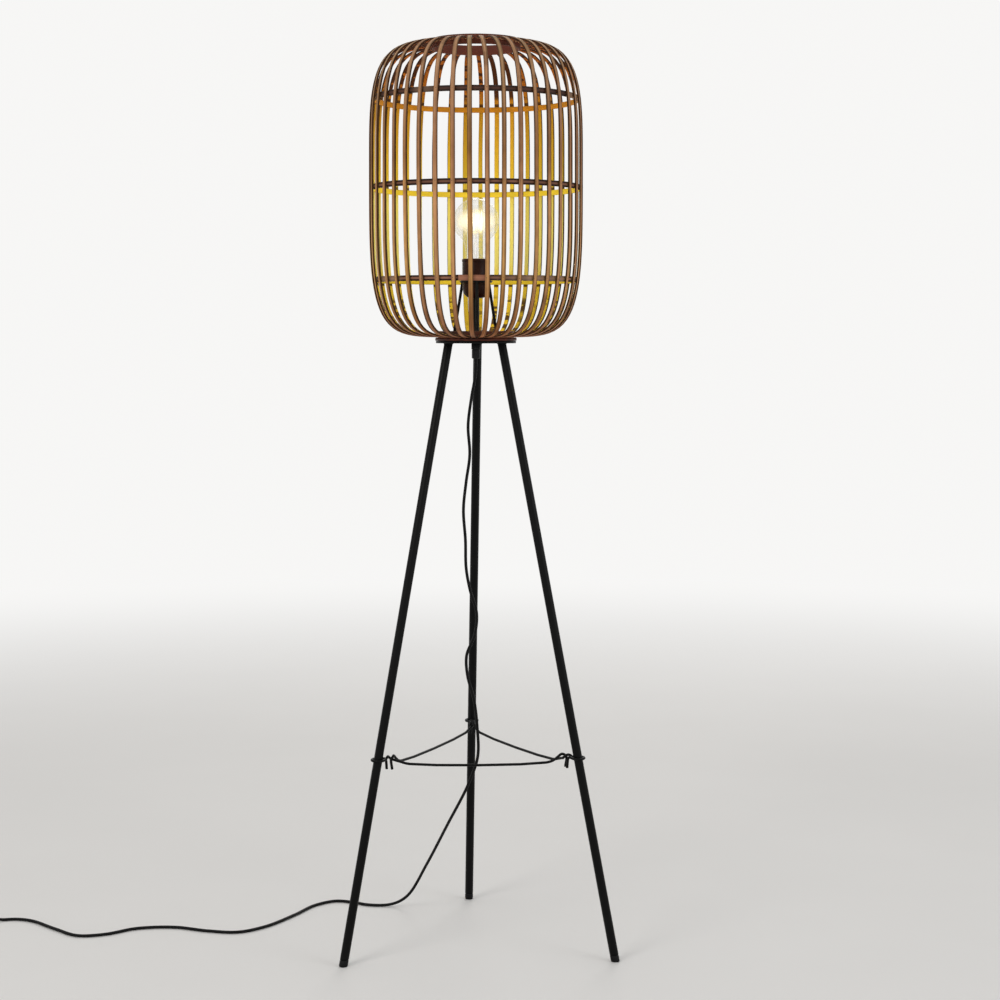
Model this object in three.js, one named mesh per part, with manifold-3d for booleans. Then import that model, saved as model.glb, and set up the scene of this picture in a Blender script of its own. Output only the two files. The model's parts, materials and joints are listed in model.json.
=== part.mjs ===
// A floor lamp: a tall barrel shade of split rattan strips on a tripod of black steel tube.
// Millimetres, +Z up. The origin is on the floor, under the middle of the box that the lamp
// fills without its cord. The rear leg points along +Y.

import * as THREE from "three";
import { mergeVertices } from "three/addons/utils/BufferGeometryUtils.js";
import Module from "manifold-3d";

const wasm = await Module();
wasm.setup();

// Fits
const seatGap = 0.3; // between two pieces that touch
const cutOverrun = 2; // how far a cutting piece runs past the face that it opens
const rootOverrun = 1; // how far a joined piece runs into the piece that carries it

// Tripod
const plateLevel = 908.5; // floor to the underside of the steel plate
const legDiameter = 13;
const legWall = 1.2;
const legFootReach = 230.5; // lamp axis to the middle of a foot, on the floor
const legTopReach = 46.5; // lamp axis to the middle of a leg, under the plate
const legTopAngle = -6; // degrees from a foot's direction to its leg's top
const rearLegAngle = 90; // degrees from +X to +Y, as all the directions here
const legSpacingAngle = 120;
const footCapDepth = 10;
const footCapEdge = 1.5;
const plateDiameter = 122;
const plateThickness = 3.5;
const plateEdge = 0.8;

// Brace of bent wire
const braceLevel = 287.5; // floor to the three straight sides, at the lamp axis
const braceSlope = 0.035; // rise towards the rear
const braceWireDiameter = 4;
const braceNeckRise = 9.5; // from the sides to the necks
const braceNeckLength = 20;
const braceNeckGap = 2; // between the two strands of a neck
const braceLoopGap = 2; // between a neck and the loop round its leg
const braceLoopAngle = 130; // degrees to each side that the loop goes round a leg
const braceBendLength = 18; // of the bend between a neck and a side
const braceTailDrop = 16;
const braceSpotDiameter = 2.8; // of the weld that holds a neck's two strands
const leavingShare = 0.25; // along a neck, where one strand passes under the other and leaves
const arrivingShare = 0.2; // where the other one comes up over it
const spotShare = 0.5; // where that strand ends, and both are welded
const leavingBendShares = { along: 0.2, rise: 0.4 };
const arrivingBendShares = { along: 0.35, rise: 0.4 };
const loopTailShares = { along: [0.74, 0.77, 0.8, 0.86, 0.97], drop: [1, 0.55, 0.22, 0.05, 0] };
const neckTailShares = { along: [0.545, 0.535, 0.49, 0.45], drop: [0.13, 0.4, 0.7, 1] };

// Shade
const shadeRadius = 162.5; // to the outer faces of the strips, at the widest level
const shadeHeight = 452.7; // lowest face of the strips to the top edge of the top ring
const widestShare = 0.6024; // of the shade's height, up from its lowest face
const crownBend = { across: 5.31, along: 3.4 }; // exponents of the curve above the widest level
const bellyBend = { across: 6.17, along: 4.5 }; // and below it
const ribCount = 40;
const ribWidth = 7;
const ribThickness = 3;
const firstRibAngle = 2.7; // degrees from the front to the first strip
const ribStepsPerHalf = 9;
const lowerHoopShare = 0.1928; // of the shade's height, up to the middle of the hoop
const middleHoopShare = 0.5012;
const upperHoopShare = 0.7993;
const hoopHeight = 8.5;
const hoopThickness = 2.8;
const topRingRadius = 68;
const topRingHeight = 15;
const topRingThickness = 4.5;

// Turned wooden base of the shade
const baseDiameter = 124;
const baseThickness = 4.7;
const baseRimDiameter = 115;
const baseRimWall = 4.5;
const baseRimHeight = 10;
const baseEdge = 0.8;

// Stem tube and cord gland
const stemDiameter = 10;
const stemBore = 7;
const stemSocketDepth = 7; // how deep the stem sits in the lampholder
const stemGlandDepth = 10; // and in the gland
const glandDiameter = 14;
const glandHeight = 23.2;
const glandFlare = 1.2; // rounding of the gland's mouth

// Lampholder
const holderRise = 60; // top of the wooden base to the lampholder's lowest face
const holderDomeRadius = 20.5;
const holderDomeHeight = 16;
const holderBodyHeight = 26.5; // lowest face to the flange
const holderFlangeRadius = 23.5;
const holderFlangeHeight = 3.5;
const holderSkirtRadius = 21.4;
const holderHeight = 59.5;
const holderCollarWall = 3; // round the stem, at the lowest face
const holderFloorThickness = 2.5; // of the socket, above the flange's underside

// Stay that carries the lampholder
const stayRingRadius = 25;
const stayRingThickness = 2.5;
const stayWireDiameter = 4.5;
const stayTopReach = 23;
const stayFootReach = 38;
const stayAngles = [30, 150, 270];
const stayFootDiameter = 11;
const stayFootThickness = 2;

// Bulb
const bulbCapDiameter = 26.4;
const bulbCapClearance = 0.4;
const bulbCapLength = 29.5;
const bulbContactLift = 1.5; // socket floor to the end of the cap
const bulbContactRadius = 2.5;
const bulbCapNoseRadius = 8;
const bulbWall = 0.9;
const bulbMountRadius = 4.5; // the glass tube that carries the filament
const bulbMountRise = 24; // top of the lampholder to the tube's open end
const bulbNeckRadius = 15.5;
const bulbGlassRadius = 35;
const bulbCentreRise = 57.5; // top of the lampholder to the middle of the glass
const bulbNeckRise = 2.5; // top of the lampholder to the lower end of the glass neck's curve
const bulbShoulderAngle = 50; // degrees under the widest level, where the glass leaves the sphere

// Cord
const cordDiameter = 4.6;
const cordLayerGap = 0.55; // between neighbouring turns of the coil
const coilInnerRadius = 20.5; // to the middle of the innermost turn
const coilTurnsPerLayer = 2;
const cordFloorGap = 0.2; // under a cord that lies on the floor
const switchEntryLift = 6; // height of the cord where it meets and leaves the foot switch
const coilLeadIn = 42; // switch to the coil's first turn
const coilLeadOut = 25; // coil's last turn to the plug
const leadInShares = [0.3, 0.5, 0.7, 0.85]; // places of the lead's points, along it
const leadDropShares = { start: 0.1, end: 0.75 }; // where the lead comes down to the floor
const leadOutShares = [0.35, 0.65];

// Foot switch
const switchLength = 76;
const switchWidth = 36;
const switchHeight = 19;
const switchRounding = 2.5;
const switchNozzleLength = 12;
const switchNozzleRoot = 9; // how far a nozzle starts inside the casing
const switchNozzleRadius = 5;
const switchNozzleTip = 3.6;
const buttonDiameter = 23;
const buttonClearance = 0.4;
const buttonHeight = 12;
const buttonTravel = 3;
const buttonProud = 5; // above the casing when it is up
const buttonRounding = 1.5;

// Plug
const plugLength = 36;
const plugWidth = 35.3;
const plugNoseWidth = 26;
const plugThickness = 13.7;
const plugTailWidth = 13;
const plugRounding = 1.6;
const plugTaperLength = 14;
const plugPinDiameter = 4;
const plugPinLength = 19;
const plugPinSpacing = 18.6;

// Facets
const legSides = 16;
const wireSides = 8;
const braceSides = 6;
const cordSides = 8;
const coilSides = 6;
const coilStepsPerTurn = 24;
const cordSteps = 79;
const hoopSides = 48;
const discSides = 40;
const turnedSides = 24;
const smallSides = 16;
const loopSteps = 10; // round a leg
const neckSteps = 12; // along a neck
const bulbNeckSteps = 4;
const bulbBallSteps = 10;
const domeSteps = 5;
const bevelSteps = 2;
const pillEndSteps = 8;
const gapStepsPerRing = 6; // points per ring at which the coil's gap to itself is measured
const diametersApart = 3; // along the cord, between two points that the gap is measured between

// Levels that the pieces share
const plateTop = plateLevel + plateThickness;
const baseUnderside = plateTop + seatGap;
const baseTop = baseUnderside + baseThickness;
const shadeFloor = baseTop + seatGap;
const shadeTop = shadeFloor + shadeHeight;
const widestLevel = shadeFloor + widestShare * shadeHeight;
const holderFloor = baseTop + holderRise;
const holderSeat = holderFloor + holderBodyHeight;
const holderTop = holderFloor + holderHeight;
const socketFloor = holderSeat + holderFloorThickness;
const glandFloor = plateLevel - seatGap - glandHeight;

// The cord's route, relative to the lamp axis on the floor, out of the gland, down inside the
// tripod and over the floor to the foot switch. It starts inside the gland's bore.
const cordStart = new THREE.Vector3(0, 0, glandFloor + cordDiameter);
const cordHanging = [
  [-1, 0, 860],
  [-7, 0, 825],
  [-12, 0, 783],
  [-9.5, 0, 739],
  [-15, 1, 697],
  [-19, 2, 655],
  [-16, 1, 609],
  [-15, 0, 567],
  [-9, 0, 533],
  [1, 0, 498],
  [-2, 0, 465],
  [-14, 2, 434],
  [-13, 2, 404],
  [-3, 1, 366],
  [2, 2, 324],
  [3, 6, 279],
  [-10, 21, 235],
  [-41, 73, 159],
  [-71, 135, 83],
  [-99, 179, 23],
  [-115, 188, 9],
  [-131, 191, 3.6],
];
const cordOnFloor = [
  [-149, 192],
  [-168, 198],
  [-190, 213],
  [-217, 221],
  [-249, 199],
  [-280, 146],
  [-324, 84],
  [-364, 58],
  [-410, 67],
  [-464, 90],
  [-521, 87],
  [-566, 59],
  [-606, 54],
  [-646, 91],
  [-690, 138],
  [-714, 148.5],
  [-735, 147],
];
const switchCentreFromAxis = [-808, 142];

// Finishes
const rattan = new THREE.MeshStandardMaterial({ color: 0x8a6a4c, roughness: 0.62 });
const hoopRattan = new THREE.MeshStandardMaterial({ color: 0x6b4630, roughness: 0.6 });
const stainedWood = new THREE.MeshStandardMaterial({ color: 0x4a2a1c, roughness: 0.5 });
const blackSteel = new THREE.MeshStandardMaterial({ color: 0x17171a, roughness: 0.42, metalness: 0.7 });
const bakelite = new THREE.MeshStandardMaterial({ color: 0x2a1610, roughness: 0.3 });
const glass = new THREE.MeshStandardMaterial({
  color: 0xffe9b0,
  roughness: 0.05,
  transparent: true,
  opacity: 0.4,
});
const blackPlastic = new THREE.MeshStandardMaterial({ color: 0x141414, roughness: 0.45 });
const blackCord = new THREE.MeshStandardMaterial({ color: 0x181818, roughness: 0.55 });

const radians = THREE.MathUtils.degToRad;
const circleOf = (radius, sides) =>
  Array.from({ length: sides }, (_, side) => {
    const angle = (2 * Math.PI * side) / sides;
    return new THREE.Vector2(radius * Math.cos(angle), radius * Math.sin(angle));
  });

// A geometry with positions only and shared corners.
function welded(geometry) {
  const bare = geometry.clone();
  for (const attribute of ["normal", "uv"]) bare.deleteAttribute(attribute);
  return mergeVertices(bare);
}

function solidOf(geometry) {
  const merged = welded(geometry);
  const vertProperties = new Float32Array(merged.attributes.position.array);
  const triVerts = new Uint32Array(merged.index.array);
  return new wasm.Manifold(new wasm.Mesh({ numProp: 3, vertProperties, triVerts }));
}

function geometryOf(solid) {
  const { vertProperties, triVerts } = solid.getMesh();
  const geometry = new THREE.BufferGeometry();
  geometry.setAttribute("position", new THREE.BufferAttribute(vertProperties, 3));
  geometry.setIndex(new THREE.BufferAttribute(triVerts, 1));
  const flat = geometry.toNonIndexed();
  flat.computeVertexNormals();
  return flat;
}

const joined = (...geometries) => geometryOf(geometries.map(solidOf).reduce((a, b) => a.add(b)));
const cut = (body, tool) => geometryOf(solidOf(body).subtract(solidOf(tool)));

// A profile of [radius, level] pairs, going up its outer side, revolved about the Z axis.
function turned(profile, sides) {
  const points = profile.map(([radius, level]) => new THREE.Vector2(radius, level));
  return new THREE.LatheGeometry(points, sides).rotateX(Math.PI / 2);
}

// A ring or plate with a hole: its section is a loop that ends where it starts.
function turnedLoop(profile, sides) {
  return turned([...profile, profile[0]], sides);
}

function tubeWall(outerRadius, innerRadius, floor, top, sides) {
  return turnedLoop(
    [
      [innerRadius, floor],
      [outerRadius, floor],
      [outerRadius, top],
      [innerRadius, top],
    ],
    sides,
  );
}

// A round bar between two points.
function bar(from, to, startRadius, endRadius, sides) {
  const along = to.clone().sub(from);
  const geometry = new THREE.CylinderGeometry(endRadius, startRadius, along.length(), sides);
  const turn = new THREE.Quaternion().setFromUnitVectors(
    new THREE.Vector3(0, 1, 0),
    along.clone().normalize(),
  );
  return geometry.applyQuaternion(turn).translate(...from.clone().addScaledVector(along, 1 / 2));
}

// A curve whose spaced points are the given points, so that a tube along it has a ring at each.
class Route extends THREE.Curve {
  constructor(points) {
    super();
    this.points = points;
  }

  getUtoTmapping(share) {
    return share;
  }

  getPoint(share) {
    const place = share * (this.points.length - 1);
    const step = Math.min(Math.floor(place), this.points.length - 2);
    return this.points[step].clone().lerp(this.points[step + 1], place - step);
  }

  getTangent(share) {
    const last = this.points.length - 1;
    const ring = Math.round(share * last);
    const before = this.points[Math.max(ring - 1, 0)];
    const after = this.points[Math.min(ring + 1, last)];
    return after.clone().sub(before).normalize();
  }
}

function tubeAlong(points, diameter, sides) {
  const section = new THREE.Shape(circleOf(diameter / 2, sides));
  return new THREE.ExtrudeGeometry(section, {
    steps: points.length - 1,
    extrudePath: new Route(points),
  });
}

const lamp = new THREE.Group();
const model = new THREE.Group();
model.add(lamp);

function place(name, geometry, material, parent = lamp) {
  const mesh = new THREE.Mesh(geometry, material);
  mesh.name = name;
  parent.add(mesh);
  return mesh;
}

// Steel tube legs: round tubes that lean outwards, cut level at the floor and under the plate,
// each with a black end cap that closes its lower end.
const planPoint = (reach, direction) =>
  new THREE.Vector2(reach * Math.cos(radians(direction)), reach * Math.sin(radians(direction)));

const legAngles = {
  rear_leg: rearLegAngle,
  left_leg: rearLegAngle + legSpacingAngle,
  right_leg: rearLegAngle - legSpacingAngle,
};
const legTop = plateLevel - seatGap;

function legPlan(direction) {
  const foot = planPoint(legFootReach, direction);
  const top = planPoint(legTopReach, direction + legTopAngle);
  const inwards = top.clone().sub(foot);
  return { foot, inwards, lean: Math.atan2(inwards.length(), legTop) };
}

// The middle of a leg at a level above the floor.
function legCentre(direction, level) {
  const { foot, inwards } = legPlan(direction);
  return foot.clone().addScaledVector(inwards, level / legTop);
}

function makeLeg(name, direction) {
  const radius = legDiameter / 2;
  const bore = radius - legWall;
  const upright = turned(
    [
      [0, 0],
      [radius - footCapEdge, 0],
      [radius, footCapEdge],
      [radius, legTop],
      [bore, legTop],
      [bore, footCapDepth],
      [0, footCapDepth],
    ],
    legSides,
  );
  const { foot, inwards, lean } = legPlan(direction);
  const leaning = new THREE.Matrix4().set(
    1 / Math.cos(lean), 0, Math.tan(lean), 0,
    0, 1, 0, 0,
    0, 0, 1, 0,
    0, 0, 0, 1,
  );
  const leg = place(name, upright.applyMatrix4(leaning), blackSteel);
  leg.position.set(foot.x, foot.y, 0);
  leg.rotation.z = inwards.angle();
}

// One corner of the brace: the two strands of its neck, their tails and the loop round the leg.
// A point is placed by its reach from the lamp axis, by how far it lies to the left as seen from
// the axis, and by its height over the neck.
function braceCorner(direction) {
  const neckLevel = (y) => braceLevel + braceNeckRise + braceSlope * y;
  const rough = legCentre(direction, neckLevel(0));
  const leg = legCentre(direction, neckLevel(rough.y));
  const out = leg.clone().normalize();
  const at = (reach, left, height) => {
    const x = out.x * reach - out.y * left;
    const y = out.y * reach + out.x * left;
    return new THREE.Vector3(x, y, neckLevel(y) + height);
  };
  const snug = legDiameter / (2 * Math.cos(legPlan(direction).lean)) + braceWireDiameter / 2 + seatGap;
  const loopRadius = snug / Math.cos(radians(braceLoopAngle / loopSteps));
  const neckStart = leg.length() - loopRadius - braceLoopGap - braceNeckLength;
  const strandReach = (braceWireDiameter + braceNeckGap) / 2;
  const side = (left) => at(neckStart, left * strandReach, -braceNeckRise);

  // The strands wind round each other once along the neck, half a turn apart.
  const strand = (share, phase) => {
    const turn = phase - 2 * Math.PI * share;
    const reach = neckStart + share * braceNeckLength;
    return at(reach, strandReach * Math.cos(turn), strandReach * Math.sin(turn));
  };
  const strandBetween = (from, to, phase) => {
    const steps = Math.ceil(neckSteps * Math.abs(to - from));
    const shareAt = (step) => THREE.MathUtils.lerp(from, to, step / steps);
    return Array.from({ length: steps + 1 }, (_, step) => strand(shareAt(step), phase));
  };
  const tail = ({ along, drop }, left) =>
    along.map((share, step) =>
      at(neckStart + share * braceNeckLength, left * strandReach, -drop[step] * braceTailDrop),
    );
  const loop = Array.from({ length: loopSteps + 1 }, (_, step) => {
    const turn = radians(THREE.MathUtils.lerp(-braceLoopAngle, braceLoopAngle, step / loopSteps));
    return at(leg.length() + loopRadius * Math.cos(turn), loopRadius * Math.sin(turn), 0);
  });
  return { side, strand, strandBetween, tail, loop };
}

// The brace: three wires, one for each side. At a leg two of them wind round each other in a neck
// and are spot welded. One of the two goes round the leg, and both end in a tail under the neck.
function makeBrace() {
  const corners = Object.values(legAngles).map(braceCorner);
  const wires = corners.map((corner, index) => {
    const next = corners[(index + 1) % corners.length];
    const start = corner.side(1);
    const end = next.side(-1);
    const along = end.clone().sub(start).normalize();
    const bend = (from, way, shares) => {
      const middle = from.clone().addScaledVector(along, way * shares.along * braceBendLength);
      middle.z += shares.rise * braceNeckRise;
      return [middle, from.clone().addScaledVector(along, way * braceBendLength)];
    };
    const points = [
      ...corner.tail(loopTailShares, -1),
      ...corner.loop,
      ...corner.strandBetween(1, leavingShare, 0),
      ...bend(start, 1, leavingBendShares),
      ...bend(end, -1, arrivingBendShares).reverse(),
      ...next.strandBetween(arrivingShare, spotShare, Math.PI),
      ...next.tail(neckTailShares, 1),
    ];
    return tubeAlong(points, braceWireDiameter, braceSides);
  });
  const spotRadius = braceSpotDiameter / 2;
  const spots = corners.map(({ strand }) =>
    bar(strand(spotShare, 0), strand(spotShare, Math.PI), spotRadius, spotRadius, braceSides),
  );
  place("leg_brace", joined(...wires, ...spots), blackSteel);
}

// The steel plate under the shade, which the legs are welded to, with a hole for the stem.
function makePlate() {
  const radius = plateDiameter / 2;
  const hole = stemDiameter / 2 + seatGap;
  const profile = [
    [hole, plateLevel],
    [radius - plateEdge, plateLevel],
    [radius, plateLevel + plateEdge],
    [radius, plateTop],
    [hole, plateTop],
  ];
  place("mounting_plate", turnedLoop(profile, discSides), blackSteel);
}

// The turned wooden base: a disc with an upstanding rim, which the strips' lower ends are nailed to.
function makeShadeBase() {
  const radius = baseDiameter / 2;
  const rim = baseRimDiameter / 2;
  const hole = stemDiameter / 2 + seatGap;
  const rimTop = baseTop + baseRimHeight;
  const profile = [
    [hole, baseUnderside],
    [radius, baseUnderside],
    [radius, baseTop - baseEdge],
    [radius - baseEdge, baseTop],
    [rim, baseTop],
    [rim, rimTop],
    [rim - baseRimWall, rimTop],
    [rim - baseRimWall, baseTop],
    [hole, baseTop],
  ];
  place("shade_base", turnedLoop(profile, discSides), stainedWood);
}

// The strips' outer and inner faces, as [radius, level] points from the lower end to the upper one.
// Each half is a quarter of a superellipse, cut off where its end meets the base or the top ring.
function ribFaces() {
  const outer = [];
  const inner = [];
  const halfFaces = (sign, height, bend, endRadius) => {
    const lastTurn = Math.acos((endRadius / shadeRadius) ** (bend.across / 2));
    const half = [];
    for (let step = sign > 0 ? 0 : 1; step <= ribStepsPerHalf; step += 1) {
      const turn = (lastTurn * step) / ribStepsPerHalf;
      const across = Math.cos(turn) ** (2 / bend.across);
      const along = Math.sin(turn) ** (2 / bend.along);
      const facing = new THREE.Vector2(
        (bend.across / shadeRadius) * across ** (bend.across - 1),
        (sign * bend.along * along ** (bend.along - 1)) / height,
      );
      if (step === ribStepsPerHalf) facing.x = 0;
      facing.normalize();
      const point = new THREE.Vector2(across * shadeRadius, widestLevel + sign * along * height);
      half.push([point, point.clone().addScaledVector(facing, -ribThickness)]);
    }
    return half;
  };
  const belly = halfFaces(-1, widestLevel - shadeFloor, bellyBend, baseRimDiameter / 2 + seatGap);
  const crown = halfFaces(1, shadeTop - widestLevel, crownBend, topRingRadius + seatGap);
  for (const [out, back] of [...belly.reverse(), ...crown]) {
    outer.push(out);
    inner.push(back);
  }
  return { outer, inner };
}

// Where a line of points crosses a level.
function radiusAt(points, level) {
  const next = points.findIndex((point) => point.y >= level);
  const [below, above] = [points[next - 1], points[next]];
  return THREE.MathUtils.mapLinear(level, below.y, above.y, below.x, above.x);
}

function makeRibs({ outer, inner }) {
  const strip = new THREE.Shape([...outer, ...inner.slice().reverse()]);
  const geometry = new THREE.ExtrudeGeometry(strip, { depth: ribWidth, bevelEnabled: false });
  geometry.translate(0, 0, -ribWidth / 2).rotateX(Math.PI / 2);
  for (let rib = 0; rib < ribCount; rib += 1) {
    const name = `rib_${String(rib + 1).padStart(2, "0")}`;
    place(name, geometry, rattan).rotation.z = radians(firstRibAngle + (360 * rib) / ribCount - 90);
  }
}

// Flat rattan hoops inside the strips.
const hoopShares = {
  lower_hoop: lowerHoopShare,
  middle_hoop: middleHoopShare,
  upper_hoop: upperHoopShare,
};

function makeHoops({ inner }) {
  for (const [name, share] of Object.entries(hoopShares)) {
    const floor = shadeFloor + share * shadeHeight - hoopHeight / 2;
    const top = floor + hoopHeight;
    const radius = Math.min(radiusAt(inner, floor), radiusAt(inner, top)) - seatGap;
    place(name, tubeWall(radius, radius - hoopThickness, floor, top, hoopSides), hoopRattan);
  }
}

function makeTopRing() {
  const wall = topRingRadius - topRingThickness;
  place("top_ring", tubeWall(topRingRadius, wall, shadeTop - topRingHeight, shadeTop, hoopSides), hoopRattan);
}

// The stem: a tube that runs from the gland through the plate and the base to the lampholder.
function makeStem() {
  const floor = plateLevel - seatGap - stemGlandDepth;
  const top = holderFloor + stemSocketDepth;
  place("stem_tube", tubeWall(stemDiameter / 2, stemBore / 2, floor, top, smallSides), blackSteel);
}

// The gland under the plate, with a socket for the stem and a rounded mouth for the cord.
function makeGland() {
  const radius = glandDiameter / 2;
  const top = plateLevel - seatGap;
  const socket = stemDiameter / 2 + seatGap;
  const shelf = top - stemGlandDepth - seatGap;
  const mouth = cordDiameter / 2 + seatGap;
  const profile = [
    [mouth + glandFlare, glandFloor],
    [radius - glandFlare, glandFloor],
    [radius, glandFloor + glandFlare],
    [radius, top],
    [socket, top],
    [socket, shelf],
    [mouth, shelf],
    [mouth, glandFloor + glandFlare],
  ];
  place("cord_gland", turnedLoop(profile, smallSides), blackPlastic);
}

// The lampholder: a domed cap, a flange and a skirt round the socket.
function makeLampholder() {
  const stemSocket = stemDiameter / 2 + seatGap;
  const bore = bulbCapDiameter / 2 + bulbCapClearance;
  const domeFloor = stemSocket + holderCollarWall;
  const dome = Array.from({ length: domeSteps }, (_, step) => {
    const turn = ((step + 1) / domeSteps) * (Math.PI / 2);
    return [
      domeFloor + (holderDomeRadius - domeFloor) * Math.sin(turn),
      holderFloor + holderDomeHeight * (1 - Math.cos(turn)),
    ];
  });
  const flangeTop = holderSeat + holderFlangeHeight;
  const profile = [
    [0, holderFloor + stemSocketDepth + seatGap],
    [stemSocket, holderFloor + stemSocketDepth + seatGap],
    [stemSocket, holderFloor],
    [domeFloor, holderFloor],
    ...dome,
    [holderDomeRadius, holderSeat],
    [holderFlangeRadius, holderSeat],
    [holderFlangeRadius, flangeTop],
    [holderSkirtRadius, flangeTop],
    [holderSkirtRadius, holderTop],
    [bore, holderTop],
    [bore, socketFloor],
    [0, socketFloor],
  ];
  place("lampholder", turned(profile, turnedSides), bakelite);
}

// The stay: a ring under the lampholder's flange on three wire arms with flat feet.
function makeStay() {
  const top = holderSeat - seatGap;
  const floor = baseTop + seatGap;
  const hole = holderDomeRadius + seatGap;
  let stay = tubeWall(stayRingRadius, hole, top - stayRingThickness, top, turnedSides);
  const wire = stayWireDiameter / 2;
  for (const direction of stayAngles) {
    const head = planPoint(stayTopReach, direction);
    const heel = planPoint(stayFootReach, direction);
    const from = new THREE.Vector3(heel.x, heel.y, floor + stayFootThickness / 2);
    const to = new THREE.Vector3(head.x, head.y, top - stayRingThickness / 2);
    const foot = new THREE.Vector3(heel.x, heel.y, floor);
    const footTop = new THREE.Vector3(heel.x, heel.y, floor + stayFootThickness);
    const pad = bar(foot, footTop, stayFootDiameter / 2, stayFootDiameter / 2, smallSides);
    stay = joined(stay, bar(from, to, wire, wire, wireSides), pad);
  }
  place("holder_stay", stay, blackSteel);
}

// The bulb: a screw cap in the socket and a clear glass shell that widens to a ball, with the glass
// tube that carries the filament. That tube is open at its top and through the cap's end.
function makeBulb() {
  const capFloor = socketFloor + bulbContactLift;
  const capRadius = bulbCapDiameter / 2;
  const centre = holderTop + bulbCentreRise;
  const firstTurn = radians(-bulbShoulderAngle);
  const lastTurn = radians(90);

  // The glass from the neck up to the top of the ball, moved inwards by a wall.
  const glassFace = (inset) => {
    const ball = bulbGlassRadius - inset;
    const neckRadius = bulbNeckRadius - inset;
    const shoulder = new THREE.Vector2(
      ball * Math.cos(firstTurn),
      centre + ball * Math.sin(firstTurn),
    );
    const drop = (shoulder.x - neckRadius) / Math.tan(-firstTurn);
    const neck = new THREE.QuadraticBezierCurve(
      new THREE.Vector2(neckRadius, holderTop + bulbNeckRise),
      new THREE.Vector2(neckRadius, shoulder.y - drop),
      shoulder,
    ).getPoints(bulbNeckSteps);
    const upper = Array.from({ length: bulbBallSteps }, (_, step) => {
      const turn = THREE.MathUtils.lerp(firstTurn, lastTurn, (step + 1) / bulbBallSteps);
      return [step + 1 < bulbBallSteps ? ball * Math.cos(turn) : 0, centre + ball * Math.sin(turn)];
    });
    return [...neck.map((point) => [point.x, point.y]), ...upper];
  };

  const profile = [
    ...glassFace(bulbWall).reverse(),
    [capRadius - bulbWall, capFloor + bulbContactLift],
    [bulbMountRadius, capFloor + bulbContactLift],
    [bulbMountRadius, holderTop + bulbMountRise],
    [bulbContactRadius, holderTop + bulbMountRise],
    [bulbContactRadius, capFloor],
    [bulbCapNoseRadius, capFloor],
    [capRadius, capFloor + bulbContactLift],
    [capRadius, capFloor + bulbCapLength],
    ...glassFace(0),
  ];
  place("bulb", turned(profile, turnedSides), glass);
}

// The cord from the gland to the foot switch: one smooth curve, straight for a diameter at its ends.
const cordRestLevel = cordDiameter / 2 + cordFloorGap;
const onFloor = ([x, y]) => new THREE.Vector3(x, y, cordRestLevel);
const switchCentre = new THREE.Vector3(...switchCentreFromAxis, 0);
const switchReach = switchLength / 2 + switchNozzleLength;

function makeCord() {
  const entry = new THREE.Vector3(switchCentre.x + switchReach + seatGap, switchCentre.y, switchEntryLift);
  const first = cordStart.clone().setZ(cordStart.z - cordDiameter);
  const last = entry.clone().setX(entry.x + cordDiameter);
  const route = [
    first,
    ...cordHanging.map(([x, y, z]) => new THREE.Vector3(x, y, z)),
    ...cordOnFloor.map(onFloor),
    last,
  ];
  const curve = new THREE.CatmullRomCurve3(route, false, "centripetal");
  const points = [cordStart, ...curve.getSpacedPoints(cordSteps - 2), entry];
  place("cord", tubeAlong(points, cordDiameter, cordSides), blackCord);
}

// The spare cord: it leaves the switch, spirals in over one layer of turns and out again over a
// second one, and runs on to the plug.
function coilRoute() {
  const pitch = cordDiameter + cordLayerGap;
  const outerRadius = coilInnerRadius + pitch * coilTurnsPerLayer;
  const start = switchCentre.clone();
  start.x -= switchReach + seatGap;
  const centre = new THREE.Vector2(start.x - coilLeadIn, start.y - outerRadius);
  const floor = cordRestLevel;
  const points = [];
  const addLead = (x, lift) => points.push(new THREE.Vector3(x, start.y, lift));
  addLead(start.x, switchEntryLift);
  addLead(start.x - cordDiameter, switchEntryLift);
  for (const share of leadInShares) {
    const ease = THREE.MathUtils.smoothstep(share, leadDropShares.start, leadDropShares.end);
    addLead(start.x - coilLeadIn * share, THREE.MathUtils.lerp(switchEntryLift, floor, ease));
  }
  const steps = 2 * coilTurnsPerLayer * coilStepsPerTurn;
  for (let step = 0; step <= steps; step += 1) {
    const turns = step / coilStepsPerTurn;
    const fromReverse = turns - coilTurnsPerLayer;
    const radius = coilInnerRadius + pitch * Math.abs(fromReverse);
    const angle = Math.PI / 2 + 2 * Math.PI * turns;
    const climb = THREE.MathUtils.clamp(2 * fromReverse + 1 / 2, 0, 1);
    points.push(
      new THREE.Vector3(
        centre.x + radius * Math.cos(angle),
        centre.y + radius * Math.sin(angle),
        floor + pitch * climb,
      ),
    );
  }
  const upper = floor + pitch;
  for (const share of leadOutShares) {
    addLead(centre.x - coilLeadOut * share, THREE.MathUtils.lerp(upper, plugThickness / 2, share));
  }
  addLead(centre.x - coilLeadOut + cordDiameter, plugThickness / 2);
  addLead(centre.x - coilLeadOut, plugThickness / 2);
  return points;
}

// The least gap between stretches of a tube that are a few diameters apart along it.
function leastGap(points, diameter) {
  const apart = diametersApart * diameter;
  const along = [0];
  for (let i = 1; i < points.length; i += 1) along.push(along[i - 1] + points[i].distanceTo(points[i - 1]));
  let least = Infinity;
  points.forEach((a, i) =>
    points.slice(i + 1).forEach((b, j) => {
      if (along[i + 1 + j] - along[i] > apart) least = Math.min(least, a.distanceTo(b));
    }),
  );
  return least - diameter;
}

function makeCoil() {
  const points = coilRoute();
  const finer = new Route(points).getPoints(gapStepsPerRing * (points.length - 1));
  console.log(`coil: least gap to itself ${leastGap(finer, cordDiameter).toFixed(2)} mm`);
  place("cord_coil", tubeAlong(points, cordDiameter, coilSides), blackCord);
}

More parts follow.
